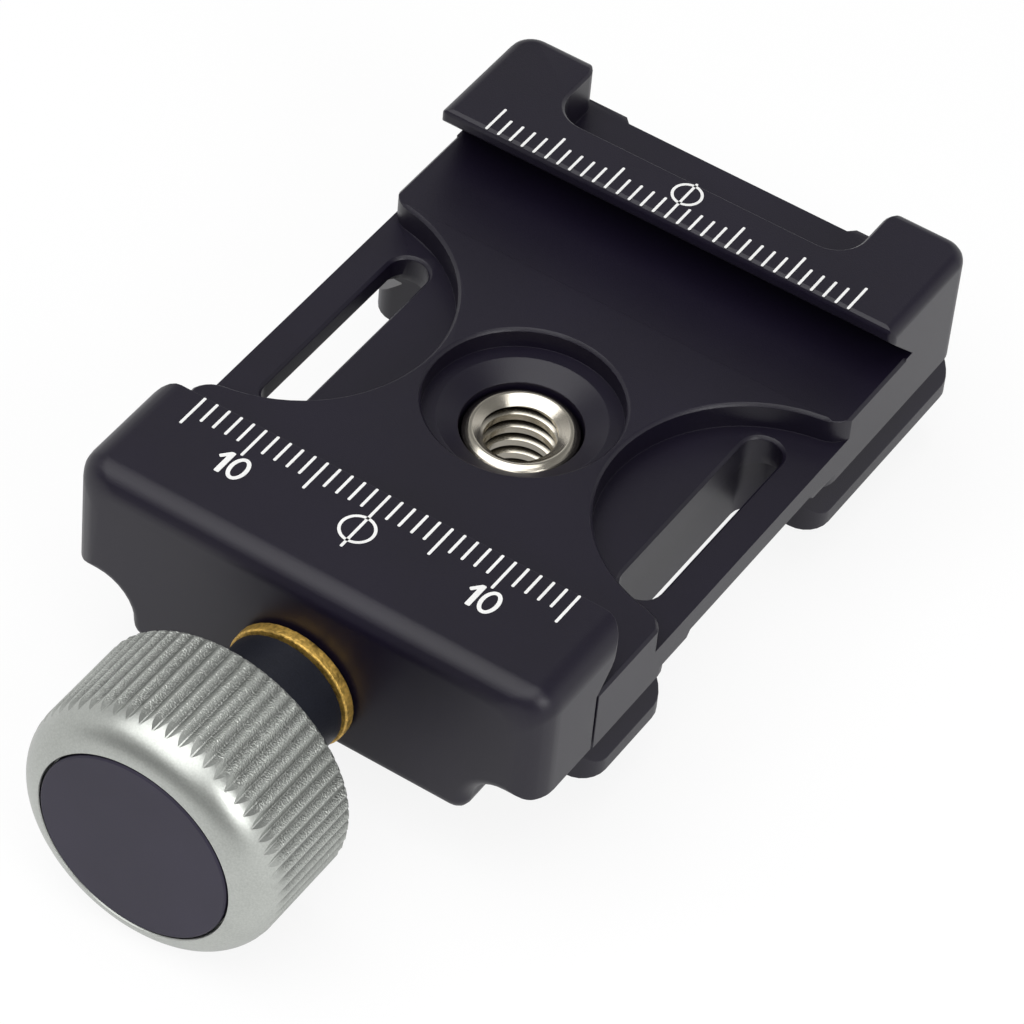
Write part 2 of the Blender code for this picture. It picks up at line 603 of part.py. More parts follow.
def make_bush(group, mat):
    top = BUSH_TOP_Z
    low = BUSH_TOP_Z - BUSH_LENGTH
    edge = BUSH_EDGE_BREAK
    profile = [(BUSH_BORE_RADIUS, low + BUSH_CHAMFER_DEPTH),
               (BUSH_BORE_RADIUS + BUSH_CHAMFER_WIDTH, low), (BUSH_RADIUS - edge, low),
               (BUSH_RADIUS, low + edge), (BUSH_RADIUS, top - edge), (BUSH_RADIUS - edge, top),
               (BUSH_BORE_RADIUS + BUSH_CHAMFER_WIDTH, top),
               (BUSH_BORE_RADIUS, top - BUSH_CHAMFER_DEPTH)]
    return piece("threaded_bush", turned('Z', (0, CENTRE_Y), profile, 48, ring=True),
                 group, mat)


def make_guide_pin(name, x, group, mat):
    start = JAW_REAR_Y - PIN_SEAT
    end = PIN_END_Y
    tip = 0.2 * PIN_RADIUS
    profile = [(0, start), (PIN_RADIUS - tip, start), (PIN_RADIUS, start + tip),
               (PIN_RADIUS, end - tip), (PIN_RADIUS - tip, end), (0, end)]
    return piece(name, turned('Y', (x, SCREW_Z), profile, 20), group, mat)


def make_return_spring(name, x, group, mat):
    """A compression spring with closed ends, from the jaw's rear to its pocket's floor."""
    wire = SPRING_WIRE_RADIUS
    start = JAW_REAR_Y + wire + SEAT_GAP
    end = SPRING_POCKET_Y - wire - SEAT_GAP
    lead = 2.4 * wire
    per_turn = 12
    sides = 5
    count = SPRING_TURNS * per_turn
    bm = bmesh.new()
    rings = []
    for i in range(count + 1):
        turns = i / per_turn
        share = min(max((turns - 1) / (SPRING_TURNS - 2), 0), 1)
        closing = min(turns, 1) + max(turns - (SPRING_TURNS - 1), 0)
        y = start + lead * closing + (end - start - 2 * lead) * share
        angle = math.tau * turns
        outward = Vector((math.cos(angle), 0, math.sin(angle)))
        centre = Vector((x, y, SCREW_Z)) + outward * SPRING_RADIUS
        ring = []
        for k in range(sides):
            around = math.tau * k / sides
            ring.append(bm.verts.new(centre + outward * wire * math.cos(around)
                                     + Vector((0, wire * math.sin(around), 0))))
        rings.append(ring)
    for first, second in zip(rings, rings[1:]):
        for k in range(sides):
            j = (k + 1) % sides
            bm.faces.new((first[k], first[j], second[j], second[k]))
    bm.faces.new(rings[0])
    bm.faces.new(list(reversed(rings[-1])))
    bmesh.ops.recalc_face_normals(bm, faces=bm.faces)
    return piece(name, bm, group, mat)


def make_brass_washer(group, mat):
    rear = JAW_FRONT_Y - SEAT_GAP
    front = rear - WASHER_THICKNESS
    edge = 0.12 * WASHER_THICKNESS
    profile = [(SCREW_BORE_RADIUS, front), (WASHER_RADIUS - edge, front),
               (WASHER_RADIUS, front + edge), (WASHER_RADIUS, rear - edge),
               (WASHER_RADIUS - edge, rear), (SCREW_BORE_RADIUS, rear)]
    return piece("brass_washer", turned('Y', (0, SCREW_Z), profile, 40, ring=True),
                 group, mat)


def make_thrust_collar(group, mat):
    rear = JAW_FRONT_Y - WASHER_THICKNESS - 2 * SEAT_GAP
    front = KNOB_REAR_Y + SEAT_GAP
    profile = [(SCREW_BORE_RADIUS, front), (COLLAR_RADIUS - COLLAR_CHAMFER, front),
               (COLLAR_RADIUS, front + COLLAR_CHAMFER), (COLLAR_RADIUS, rear),
               (SCREW_BORE_RADIUS, rear)]
    return piece("thrust_collar", turned('Y', (0, SCREW_Z), profile, 36, ring=True),
                 group, mat)


def ring_place():
    """Front and rear of the retaining ring behind the jaw's backing washer."""
    front = COUNTERBORE_FLOOR_Y + SEAT_GAP + BACKING_WASHER_THICKNESS + SEAT_GAP
    return front, front + RING_THICKNESS


def make_clamp_screw(group, mat):
    """Screw from inside the knob to the base, grooved for its ring and drilled in front."""
    front = WEB_REAR_Y + SEAT_GAP
    end = SCREW_END_Y
    ring_front, ring_rear = ring_place()
    drill = KNOB_SCREW_RADIUS + SEAT_GAP
    drill_end = WEB_FRONT_Y + KNOB_SCREW_LENGTH + SEAT_GAP
    profile = [(0, drill_end), (drill, drill_end), (drill, front), (SCREW_RADIUS, front),
               (SCREW_RADIUS, ring_front - SEAT_GAP), (RING_GROOVE_RADIUS, ring_front - SEAT_GAP),
               (RING_GROOVE_RADIUS, ring_rear + SEAT_GAP), (SCREW_RADIUS, ring_rear + SEAT_GAP),
               (SCREW_RADIUS, end - SCREW_TIP_CHAMFER), (SCREW_RADIUS - SCREW_TIP_CHAMFER, end),
               (0, end)]
    return piece("clamp_screw", turned('Y', (0, SCREW_Z), profile, 24), group, mat)


def make_backing_washer(group, mat):
    front = COUNTERBORE_FLOOR_Y + SEAT_GAP
    rear = front + BACKING_WASHER_THICKNESS
    profile = [(SCREW_BORE_RADIUS, front), (RING_RADIUS, front), (RING_RADIUS, rear),
               (SCREW_BORE_RADIUS, rear)]
    return piece("backing_washer", turned('Y', (0, SCREW_Z), profile, 28, ring=True),
                 group, mat)


def make_retaining_ring(group, mat):
    """An open ring that snaps into the screw's groove."""
    inner = RING_GROOVE_RADIUS + SEAT_GAP
    half = RING_OPENING / 2
    outline = (arc((0, SCREW_Z), RING_RADIUS, half - 90, 270 - half, 20)
               + arc((0, SCREW_Z), inner, 270 - half, half - 90, 20))
    front, rear = ring_place()
    return piece("retaining_ring", prism('Y', outline, front, rear), group, mat)


def make_knob(group, mat):
    """Fluted knob: the V grooves run out in points where the front shoulder falls away."""
    bm = bmesh.new()
    count = 2 * FLUTES
    shoulder_y = KNOB_FRONT_Y + KNOB_SHOULDER
    run_out = math.acos(1 - FLUTE_DEPTH / KNOB_SHOULDER)
    mouth = CAP_RADIUS + CAP_GAP
    last = math.acos((mouth - KNOB_RADIUS + KNOB_SHOULDER) / KNOB_SHOULDER)

    def ring(radius, y, number, valley=None, valley_y=None):
        """A ring of points; with a valley radius given, every second point lies on it."""
        verts = []
        for i in range(number):
            angle = math.tau * i / number + math.pi / 2
            low = valley is not None and i % 2 == 1
            reach = valley if low else radius
            height = valley_y if low and valley_y is not None else y
            verts.append(bm.verts.new((reach * math.cos(angle), height,
                                       SCREW_Z + reach * math.sin(angle))))
        return verts

    def join(first, second):
        for i in range(len(first)):
            j = (i + 1) % len(first)
            bm.faces.new((first[i], first[j], second[j], second[i]))

    def fan(dense, coarse):
        """Joins a dense ring to a coarser one in the same plane."""
        for k in range(len(coarse)):
            start = round(len(dense) * k / len(coarse))
            end = round(len(dense) * (k + 1) / len(coarse))
            block = [dense[n % len(dense)] for n in range(start, end + 1)]
            bm.faces.new([coarse[(k + 1) % len(coarse)], coarse[k]] + block)

    # Outside, from the rear rim over the flutes to the mouth of the cap's recess
    valley = KNOB_RADIUS - FLUTE_DEPTH
    tip_y = shoulder_y - KNOB_SHOULDER * math.sin(run_out)
    outer = [ring(valley - KNOB_REAR_CHAMFER, KNOB_REAR_Y, count),
             ring(KNOB_RADIUS, KNOB_REAR_Y - KNOB_REAR_CHAMFER, count, valley),
             ring(KNOB_RADIUS, shoulder_y, count, valley, tip_y)]
    for step in range(1, SHOULDER_STEPS + 1):
        angle = run_out + (last - run_out) * step / SHOULDER_STEPS
        outer.append(ring(KNOB_RADIUS - KNOB_SHOULDER * (1 - math.cos(angle)),
                          shoulder_y - KNOB_SHOULDER * math.sin(angle), count))
    outer.append(ring(mouth, CAP_SEAT_Y, count))
    for pair in zip(outer, outer[1:]):
        join(*pair)

    # Inside, from the cap's seat through the web to the rear
    inner = [ring(radius, y, 24) for radius, y in
             ((KNOB_WASHER_RADIUS + SEAT_GAP, CAP_SEAT_Y),
              (KNOB_WASHER_RADIUS + SEAT_GAP, WEB_FRONT_Y),
              (KNOB_SCREW_RADIUS + SEAT_GAP, WEB_FRONT_Y),
              (KNOB_SCREW_RADIUS + SEAT_GAP, WEB_REAR_Y),
              (SCREW_RADIUS + SEAT_GAP, WEB_REAR_Y),
              (SCREW_RADIUS + SEAT_GAP, KNOB_REAR_Y))]
    for pair in zip(inner, inner[1:]):
        join(*pair)
    fan(outer[-1], inner[0])
    fan(outer[0], inner[-1])
    bmesh.ops.recalc_face_normals(bm, faces=bm.faces)
    return piece("knob", bm, group, mat)


def make_knob_cap(group, mat):
    rear = KNOB_FRONT_Y + CAP_THICKNESS
    edge = 0.12 * CAP_THICKNESS
    profile = [(0, KNOB_FRONT_Y), (CAP_RADIUS - edge, KNOB_FRONT_Y),
               (CAP_RADIUS, KNOB_FRONT_Y + edge), (CAP_RADIUS, rear), (0, rear)]
    return piece("knob_cap", turned('Y', (0, SCREW_Z), profile, 60), group, mat)


def make_knob_washer(group, mat):
    rear = WEB_FRONT_Y - SEAT_GAP
    front = rear - KNOB_WASHER_THICKNESS
    inner = KNOB_SCREW_RADIUS + SEAT_GAP
    profile = [(inner, front), (KNOB_WASHER_RADIUS, front), (KNOB_WASHER_RADIUS, rear),
               (inner, rear)]
    return piece("knob_washer", turned('Y', (0, SCREW_Z), profile, 24, ring=True), group, mat)


def make_knob_screw(group, mat):
    """Socket screw that holds the knob on the clamp screw, under the cap."""
    seat = WEB_FRONT_Y - 2 * SEAT_GAP - KNOB_WASHER_THICKNESS
    head = seat - KNOB_SCREW_HEAD
    end = WEB_FRONT_Y + KNOB_SCREW_LENGTH
    dome = 0.3 * KNOB_SCREW_HEAD
    profile = [(0, head), (KNOB_SCREW_HEAD_RADIUS - dome, head),
               (KNOB_SCREW_HEAD_RADIUS, head + dome), (KNOB_SCREW_HEAD_RADIUS, seat),
               (KNOB_SCREW_RADIUS, seat), (KNOB_SCREW_RADIUS, end), (0, end)]
    screw = piece("knob_screw", turned('Y', (0, SCREW_Z), profile, 24), group, mat)
    hexagon = circle((0, SCREW_Z), KNOB_SCREW_HEX / math.sqrt(3), 6)
    socket = prism('Y', hexagon, head - OVERSHOOT, head + 0.6 * KNOB_SCREW_HEAD)
    carve(screw, "hex_socket_cut", socket, group)
    return screw


def main():
    for obj in list(bpy.data.objects):
        bpy.data.objects.remove(obj, do_unlink=True)

    anodised = material("black_anodised_aluminium", (0.012, 0.011, 0.014), 0.42, 0.2)
    knob_metal = material("blasted_aluminium", (0.50, 0.52, 0.49), 0.38, 1.0)
    cap_dark = material("dark_cap", (0.045, 0.045, 0.065), 0.45, 0.3)
    steel = material("stainless_steel", (0.62, 0.60, 0.56), 0.22, 1.0)
    black_steel = material("blackened_steel", (0.02, 0.02, 0.022), 0.45, 0.6)
    brass = material("brass", (0.55, 0.34, 0.09), 0.35, 1.0)
    spring_steel = material("spring_steel", (0.35, 0.35, 0.36), 0.3, 1.0)

    root = empty("clamp", (0, 0, 0))
    root[0].location = (0, -MIDDLE_Y, STAND_Z)
    jaw_place = (0, 0, SCREW_Z)
    jaw = empty("jaw_slide", jaw_place, root[0])
    knob = empty("knob_axis", (0, KNOB_REAR_Y, SCREW_Z), jaw[0], jaw_place)

    make_body(root, anodised)
    make_bush(root, steel)
    make_sliding_jaw(jaw, anodised)
    for side, x in (("left", -PIN_OFFSET), ("right", PIN_OFFSET)):
        make_guide_pin(f"guide_pin_{side}", x, jaw, steel)
        make_return_spring(f"return_spring_{side}", x, root, spring_steel)
    make_brass_washer(jaw, brass)
    make_backing_washer(jaw, steel)
    make_retaining_ring(knob, black_steel)
    make_clamp_screw(knob, steel)
    make_thrust_collar(knob, black_steel)
    make_knob(knob, knob_metal)
    make_knob_washer(knob, steel)
    make_knob_screw(knob, black_steel)
    make_knob_cap(knob, cap_dark)


main()
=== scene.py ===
# %% [markdown]
# # A dovetail quick release clamp
# The clamp holds a camera plate between two jaws. One jaw is fixed, the other is drawn in
# by a screw with a fluted knob. This lesson dresses the clamp's CAD model: it finishes the
# edges, cuts the threads and flutes, draws the scales, and gives each metal its surface.

# %% Load the frame
import math

import bmesh
import bpy
from mathutils import Matrix, Vector


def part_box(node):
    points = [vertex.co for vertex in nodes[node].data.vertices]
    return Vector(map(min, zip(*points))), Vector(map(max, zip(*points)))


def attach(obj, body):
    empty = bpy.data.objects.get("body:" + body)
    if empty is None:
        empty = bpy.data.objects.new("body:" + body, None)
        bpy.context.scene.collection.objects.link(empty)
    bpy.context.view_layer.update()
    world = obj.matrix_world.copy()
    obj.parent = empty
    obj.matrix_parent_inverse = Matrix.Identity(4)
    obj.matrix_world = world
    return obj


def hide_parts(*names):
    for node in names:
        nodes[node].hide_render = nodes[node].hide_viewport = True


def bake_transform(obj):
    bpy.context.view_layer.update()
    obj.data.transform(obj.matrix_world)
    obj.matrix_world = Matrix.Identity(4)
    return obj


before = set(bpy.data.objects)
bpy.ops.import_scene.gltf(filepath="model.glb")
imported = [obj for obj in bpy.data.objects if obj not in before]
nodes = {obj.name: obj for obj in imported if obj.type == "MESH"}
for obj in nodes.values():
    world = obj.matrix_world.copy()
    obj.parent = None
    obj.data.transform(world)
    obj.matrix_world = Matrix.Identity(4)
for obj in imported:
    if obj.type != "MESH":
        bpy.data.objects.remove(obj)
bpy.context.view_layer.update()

# %% [markdown]
# ## Working in millimetres
# The drawing of the clamp counts from the lip of the closed sliding jaw and from the top
# of both jaws. The model's own frame has its origin under the middle, at the knob's lowest
# point. New pieces are made in the drawing's millimetres and moved once, at the end.

# %% Drawing frame
MM = 0.001
MIDDLE_Y = 8.4  # the clamp's middle, behind the sliding jaw's lip
STAND_Z = 19.03  # the jaws' top, above the knob's lowest point
SCREW_Z = -9.08  # the axis of the screw and the knob
CENTRE_Y = 16.7  # the axis of the threaded bush
SHIFT = Vector((0, -MIDDLE_Y, STAND_Z))


def to_frame(point):
    """A point of the drawing, in millimetres, in the model's frame in metres."""
    return (Vector(point) + SHIFT) * MM


def drawing_y(y):
    """A Y of the model's frame, in metres, as a Y of the drawing in millimetres."""
    return y / MM + MIDDLE_Y


print("screw axis at Z", round(to_frame((0, 0, SCREW_Z)).z, 5))

# %% [markdown]
# ## Camera
# The photograph looks down from the front right with a long lens, so that parallel edges
# stay nearly parallel. The camera's place and turn were found by laying the model's
# corners over the photograph.

# %% Set up the camera
LENS = 197.98
CAMERA_PLACE = Vector((0.13393, -0.23173, 0.28562))
CAMERA_RIGHT = Vector((0.83274359, 0.54900759, 0.07161545))
CAMERA_UP = Vector((-0.43676913, 0.57192233, 0.69436127))
camera_data = bpy.data.cameras.new("camera")
camera_data.sensor_width = 36
camera_data.lens = LENS
camera_data.clip_start = 0.01
camera_data.clip_end = 10
camera = bpy.data.objects.new("camera", camera_data)
bpy.context.scene.collection.objects.link(camera)
turn = Matrix((CAMERA_RIGHT, CAMERA_UP, CAMERA_RIGHT.cross(CAMERA_UP))).transposed()
camera.matrix_world = Matrix.Translation(CAMERA_PLACE) @ turn.to_4x4()
bpy.context.scene.camera = camera
print("camera", tuple(round(v, 4) for v in camera.location))

# %% [markdown]
# ## Shared surface effects
# Every metal here has a fine grain from blasting or anodising. One node group makes it:
# two noise textures, a coarse one for faint patches of tone and a fine one for the grain's
# height. Each material places the group with its own sizes.

# %% Node helpers
NOISE_LOW = 0.3
NOISE_HIGH = 0.7


def add_socket(group, name, kind, way, value=None):
    socket = group.interface.new_socket(name, in_out=way, socket_type="NodeSocket" + kind)
    if value is not None:
        socket.default_value = value


def feed(tree, socket, value):
    """Sets a socket to a number, or links it to another node's output."""
    if isinstance(value, (int, float)):
        socket.default_value = value
    else:
        tree.links.new(value, socket)


def math_node(tree, operation, *values):
    node = tree.nodes.new("ShaderNodeMath")
    node.operation = operation
    for socket, value in zip(node.inputs, values):
        feed(tree, socket, value)
    return node.outputs[0]


def noise(tree, vector, scale, detail=2.0, roughness=0.5):
    node = tree.nodes.new("ShaderNodeTexNoise")
    for name, value in (("Vector", vector), ("Scale", scale), ("Detail", detail),
                        ("Roughness", roughness)):
        feed(tree, node.inputs[name], value)
    return node.outputs["Fac"]


def ranged(tree, value, low, high, low_out, high_out, curve="LINEAR"):
    """Maps the range from low to high onto the range from low_out to high_out."""
    node = tree.nodes.new("ShaderNodeMapRange")
    node.interpolation_type = curve
    for name, end in (("Value", value), ("From Min", low), ("From Max", high),
                      ("To Min", low_out), ("To Max", high_out)):
        feed(tree, node.inputs[name], end)
    return node.outputs["Result"]


def spread(tree, value, low, high):
    """Spreads noise, which keeps near 0.5, over a range."""
    return ranged(tree, value, NOISE_LOW, NOISE_HIGH, low, high)


# %% Grain group
FINE_SHARE = 0.45
grain_group = bpy.data.node_groups.new("metal_grain", "ShaderNodeTree")
add_socket(grain_group, "Vector", "Vector", "INPUT")
add_socket(grain_group, "Grain Scale", "Float", "INPUT", 6000.0)
add_socket(grain_group, "Patch Scale", "Float", "INPUT", 120.0)
add_socket(grain_group, "Tone Low", "Float", "INPUT", 0.85)
add_socket(grain_group, "Tone High", "Float", "INPUT", 1.15)
for out in ("Tone", "Height"):
    add_socket(grain_group, out, "Float", "OUTPUT")
source = grain_group.nodes.new("NodeGroupInput")
sink = grain_group.nodes.new("NodeGroupOutput")
fine = noise(grain_group, source.outputs["Vector"], source.outputs["Grain Scale"], 1.0)
patch = noise(grain_group, source.outputs["Vector"], source.outputs["Patch Scale"], 3.0)
mixed = math_node(grain_group, "MULTIPLY_ADD", fine, FINE_SHARE,
                  math_node(grain_group, "MULTIPLY", patch, 1 - FINE_SHARE))
tone = spread(grain_group, mixed, source.outputs["Tone Low"], source.outputs["Tone High"])
grain_group.links.new(tone, sink.inputs["Tone"])
grain_group.links.new(spread(grain_group, fine, 0.0, 1.0), sink.inputs["Height"])
print("group", grain_group.name, len(grain_group.nodes), "nodes")

# %% [markdown]
# Turned pieces, such as the bush's rim, show rings from the lathe. A second group measures
# the distance from an axis through the piece and looks up noise by it. So each ring is even
# all the way round, and no two rings are alike, as on a real lathe.

# %% Lathe rings group
rings_group = bpy.data.node_groups.new("lathe_rings", "ShaderNodeTree")
add_socket(rings_group, "Vector", "Vector", "INPUT")
add_socket(rings_group, "Ring Scale", "Float", "INPUT", 9000.0)
add_socket(rings_group, "Height", "Float", "OUTPUT")
add_socket(rings_group, "Distance", "Float", "OUTPUT")
source = rings_group.nodes.new("NodeGroupInput")
sink = rings_group.nodes.new("NodeGroupOutput")
distance = rings_group.nodes.new("ShaderNodeVectorMath")
distance.operation = "LENGTH"
rings_group.links.new(source.outputs["Vector"], distance.inputs[0])
combine = rings_group.nodes.new("ShaderNodeCombineXYZ")
rings_group.links.new(distance.outputs["Value"], combine.inputs["X"])
rings_group.links.new(distance.outputs["Value"], sink.inputs["Distance"])
ripple = noise(rings_group, combine.outputs["Vector"], source.outputs["Ring Scale"], 2.0, 0.6)
rings_group.links.new(spread(rings_group, ripple, 0.0, 1.0), sink.inputs["Height"])
print("group", rings_group.name, len(rings_group.nodes), "nodes")

# %% [markdown]
# ## Materials
# Each metal is a Principled shader. Constant values sit on the shader's own sockets; only
# what changes over the surface comes through the groups. The grain and the lathe's rings
# each tilt the surface a little through a bump node, one after the other.


# %% Bump and ring helpers
def bumped(tree, height, depth, normal=None):
    """The normal tilted by a height; depth is the height's range in millimetres."""
    node = tree.nodes.new("ShaderNodeBump")
    node.inputs["Strength"].default_value = 1.0
    node.inputs["Distance"].default_value = depth * MM
    tree.links.new(height, node.inputs["Height"])
    if normal is not None:
        tree.links.new(normal, node.inputs["Normal"])
    return node.outputs["Normal"]


def add_rings(tree, place, axis, scale, depth, normal):
    """Lathe rings round an axis, which is X, Y or Z and a point that it runs through."""
    letter, centre = axis
    across = [0.0 if letter == name else 1.0 for name in "XYZ"]
    mapping = tree.nodes.new("ShaderNodeMapping")
    mapping.vector_type = "POINT"
    mapping.inputs["Scale"].default_value = across
    mapping.inputs["Location"].default_value = [
        -c * f for c, f in zip(to_frame(centre), across)]
    tree.links.new(place, mapping.inputs["Vector"])
    rings = tree.nodes.new("ShaderNodeGroup")
    rings.node_tree = rings_group
    rings.inputs["Ring Scale"].default_value = scale
    tree.links.new(mapping.outputs["Vector"], rings.inputs["Vector"])
    return bumped(tree, rings.outputs["Height"], depth, normal)


# %% Material helper
def metal(name, colour, roughness, metallic, grain, patch, tone, bump, specular=0.5,
          rings=None):
    """A metal with grain; rings, where given, are an axis, a scale and a depth."""
    material = bpy.data.materials.new(name)
    material.use_nodes = True
    tree = material.node_tree
    shader = tree.nodes["Principled BSDF"]
    shader.inputs["Metallic"].default_value = metallic
    shader.inputs["Roughness"].default_value = roughness
    shader.inputs["Specular IOR Level"].default_value = specular
    place = tree.nodes.new("ShaderNodeTexCoord").outputs["Object"]
    group = tree.nodes.new("ShaderNodeGroup")
    group.node_tree = grain_group
    tree.links.new(place, group.inputs["Vector"])
    for socket, value in (("Grain Scale", grain), ("Patch Scale", patch),
                          ("Tone Low", tone[0]), ("Tone High", tone[1])):
        group.inputs[socket].default_value = value
    tint = tree.nodes.new("ShaderNodeMix")
    tint.data_type = "RGBA"
    tint.blend_type = "MULTIPLY"
    tint.inputs["Factor"].default_value = 1.0
    tint.inputs["A"].default_value = (*colour, 1)
    tree.links.new(group.outputs["Tone"], tint.inputs["B"])
    tree.links.new(tint.outputs["Result"], shader.inputs["Base Color"])
    normal = bumped(tree, group.outputs["Height"], bump)
    if rings:
        normal = add_rings(tree, place, *rings, normal)
    tree.links.new(normal, shader.inputs["Normal"])
    print("metal", name, len(tree.nodes), "nodes")
    return material


# %% [markdown]
# Black anodising is a clear, dark layer: nearly black colour, weak reflection from the
# front, and a bright sheen only where the surface is seen at a slant. So it is made as a
# dark coat rather than as bare metal, and so is the blackened steel. The bright steels
# differ in their grain and rings. The brass is dull and spotted, with strong patches.

# %% The clamp's metals
knob_axis = ("Y", (0, 0, SCREW_Z))
bush_axis = ("Z", (0, CENTRE_Y, 0))
black_anodised = metal("black_anodised_aluminium", (0.0056, 0.0038, 0.0115), 0.38, 0.0,
                       grain=12000, patch=90, tone=(0.75, 1.25), bump=0.0035, specular=0.37)
cap_dark = metal("dark_cap", (0.022, 0.0185, 0.036), 0.50, 0.0, grain=9000, patch=150,
                 tone=(0.85, 1.15), bump=0.003, specular=0.30)
bright_steel = metal("bright_turned_steel", (0.60, 0.56, 0.48), 0.20, 1.0, grain=8000,
                     patch=300, tone=(0.92, 1.06), bump=0.0006,
                     rings=(bush_axis, 14000, 0.0030))
plain_steel = metal("plain_steel", (0.60, 0.59, 0.57), 0.25, 1.0, grain=8000, patch=300,
                    tone=(0.92, 1.06), bump=0.0008)
screw_steel = metal("screw_steel", (0.60, 0.59, 0.57), 0.24, 1.0, grain=8000, patch=300,
                    tone=(0.92, 1.06), bump=0.0006, rings=(knob_axis, 9000, 0.0012))
black_steel = metal("blackened_steel", (0.011, 0.012, 0.018), 0.40, 0.0, grain=7000,
                    patch=200, tone=(0.7, 1.3), bump=0.006, specular=0.25)
brass = metal("brass", (0.74, 0.47, 0.11), 0.46, 0.7, grain=4200, patch=1500,
              tone=(0.28, 1.20), bump=0.020, rings=(knob_axis, 5000, 0.003))
spring_steel = metal("spring_steel", (0.42, 0.42, 0.43), 0.28, 1.0, grain=6000, patch=300,
                     tone=(0.9, 1.1), bump=0.001)
white_mark = metal("white_mark", (0.83, 0.83, 0.82), 0.55, 0.0, grain=9000, patch=500,
                   tone=(0.90, 1.05), bump=0.002, specular=0.3)

# %% [markdown]
# The knob has two finishes. Its shoulder and front are turned to a smooth satin. Its fluted
# side is left as blasted, with a sparkling grain. The bottoms of the flutes are painted
# darker: painted shade, where less light reaches them. Masks along the axis and by distance
# from it tell the zones apart. The same masks paint shade into the hollows of the bush's thread.


# %% Hollow helper
def paint_shade_in_hollows(material, letter, zone, radii, tones, core=None):
    """Paints shade into the colour by distance from the axis, inside a zone along X, Y
    or Z. Nearer to the axis than the two core radii, nothing changes."""
    tree = material.node_tree
    groups = {n.node_tree.name: n for n in tree.nodes if n.type == "GROUP"}
    split = tree.nodes.new("ShaderNodeSeparateXYZ")
    place = tree.nodes["Texture Coordinate"].outputs["Object"]
    tree.links.new(place, split.inputs["Vector"])
    shift = SHIFT["XYZ".index(letter)]
    inside = ranged(tree, split.outputs[letter], (zone[0] + shift) * MM,
                    (zone[1] + shift) * MM, 0.0, 1.0)
    distance = groups["lathe_rings"].outputs["Distance"]
    if core:
        outside_core = ranged(tree, distance, core[0] * MM, core[1] * MM, 0.0, 1.0)
        inside = math_node(tree, "MULTIPLY", inside, outside_core)
    # Painted shade: the colour darkens towards the hollows, by distance from the axis.
    depth = ranged(tree, distance, radii[0] * MM, radii[1] * MM, *tones)
    shade = tree.nodes.new("ShaderNodeMix")
    shade.data_type = "FLOAT"
    shade.inputs["A"].default_value = 1.0
    tree.links.new(inside, shade.inputs["Factor"])
    tree.links.new(depth, shade.inputs["B"])
    tint = next(n for n in tree.nodes if n.type == "MIX" and n.data_type == "RGBA")
    tree.links.new(math_node(tree, "MULTIPLY", groups["metal_grain"].outputs["Tone"],
                             shade.outputs["Result"]), tint.inputs["B"])
    print(material.name, "shaded along", letter, zone)
    return tree, groups, inside


# %% Knob and bush hollows
SATIN_GRAIN = 0.05
blasted = metal("blasted_aluminium", (0.44, 0.455, 0.43), 0.36, 1.0, grain=7500, patch=160,
                tone=(0.85, 1.15), bump=0.034, rings=(knob_axis, 6000, 0.0008))
# Painted shade: the flute bottoms are darkened to half in the colour.
tree, groups, side = paint_shade_in_hollows(blasted, "Y", zone=(-26.3, -25.3), radii=(9.72, 9.93),
                                   tones=(0.50, 1.0), core=(9.45, 9.60))
grain_bump = next(n for n in tree.nodes if n.type == "BUMP" and not n.inputs["Normal"].is_linked)
grain_share = math_node(tree, "MAXIMUM", side, SATIN_GRAIN)
grain_height = math_node(tree, "MULTIPLY", groups["metal_grain"].outputs["Height"], grain_share)
tree.links.new(grain_height, grain_bump.inputs["Height"])
# Painted shade: the roots of the bush's thread are darkened in the colour.
paint_shade_in_hollows(bright_steel, "Z", zone=(-7.35, -7.60), radii=(2.66, 3.02), tones=(1.0, 0.14))

# %% [markdown]
# ## Finishing the CAD's machined pieces
# The CAD solids have the right shape, but their edges are perfectly sharp and their curved
# walls are flat facets. A real milled block is deburred: every edge carries a hairline
# bevel that catches the light. So a copy of each solid is merged, its flat faces are
# joined, its sharp edges are bevelled by a few hundredths of a millimetre, and the curved
# walls are shaded smooth. The copy then stands in for the CAD node.


# %% Helpers for pieces
def into_frame(bm):
    """Moves a bmesh from the drawing's millimetres into the model's frame."""
    bmesh.ops.translate(bm, verts=bm.verts, vec=SHIFT)
    bmesh.ops.scale(bm, verts=bm.verts, vec=(MM, MM, MM))


def as_object(name, bm):
    """A new object of a bmesh; the bmesh itself goes."""
    mesh = bpy.data.meshes.new(name)
    bm.to_mesh(mesh)
    bm.free()
    obj = bpy.data.objects.new(name, mesh)
    bpy.context.scene.collection.objects.link(obj)
    return obj


def shaped(obj):
    """The object's shape after its modifiers, as a bmesh; the object itself goes."""
    shape = obj.evaluated_get(bpy.context.evaluated_depsgraph_get())
    bm = bmesh.new()
    bm.from_mesh(shape.to_mesh())
    shape.to_mesh_clear()
    bpy.data.objects.remove(obj, do_unlink=True)
    return bm


def add_piece(name, bm, body, material, stands_for=(), smooth=33, in_mm=True):
    """Makes an object of a bmesh, places it in the frame and lets it ride on its body.
    Edges of more than smooth degrees are shaded sharp."""
    if in_mm:
        into_frame(bm)
    piece = as_object(name, bm)
    piece.data.materials.append(material)
    piece.data.shade_smooth()
    piece.data.set_sharp_from_angle(angle=math.radians(smooth))
    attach(piece, body)
    if stands_for:
        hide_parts(*stands_for)
    print(name, len(piece.data.polygons), "faces")
    return piece


# %% [markdown]
# The CAD's flat faces come in triangles. They are joined again, so that the bevel meets
# only real edges and each flat shades as one. A join that would leave a dent in the outline
# is skipped, because faces like that shade badly.

# %% Joining flat faces
FLAT_LIMIT = math.radians(0.5)
STRAIGHT = math.pi + 0.002


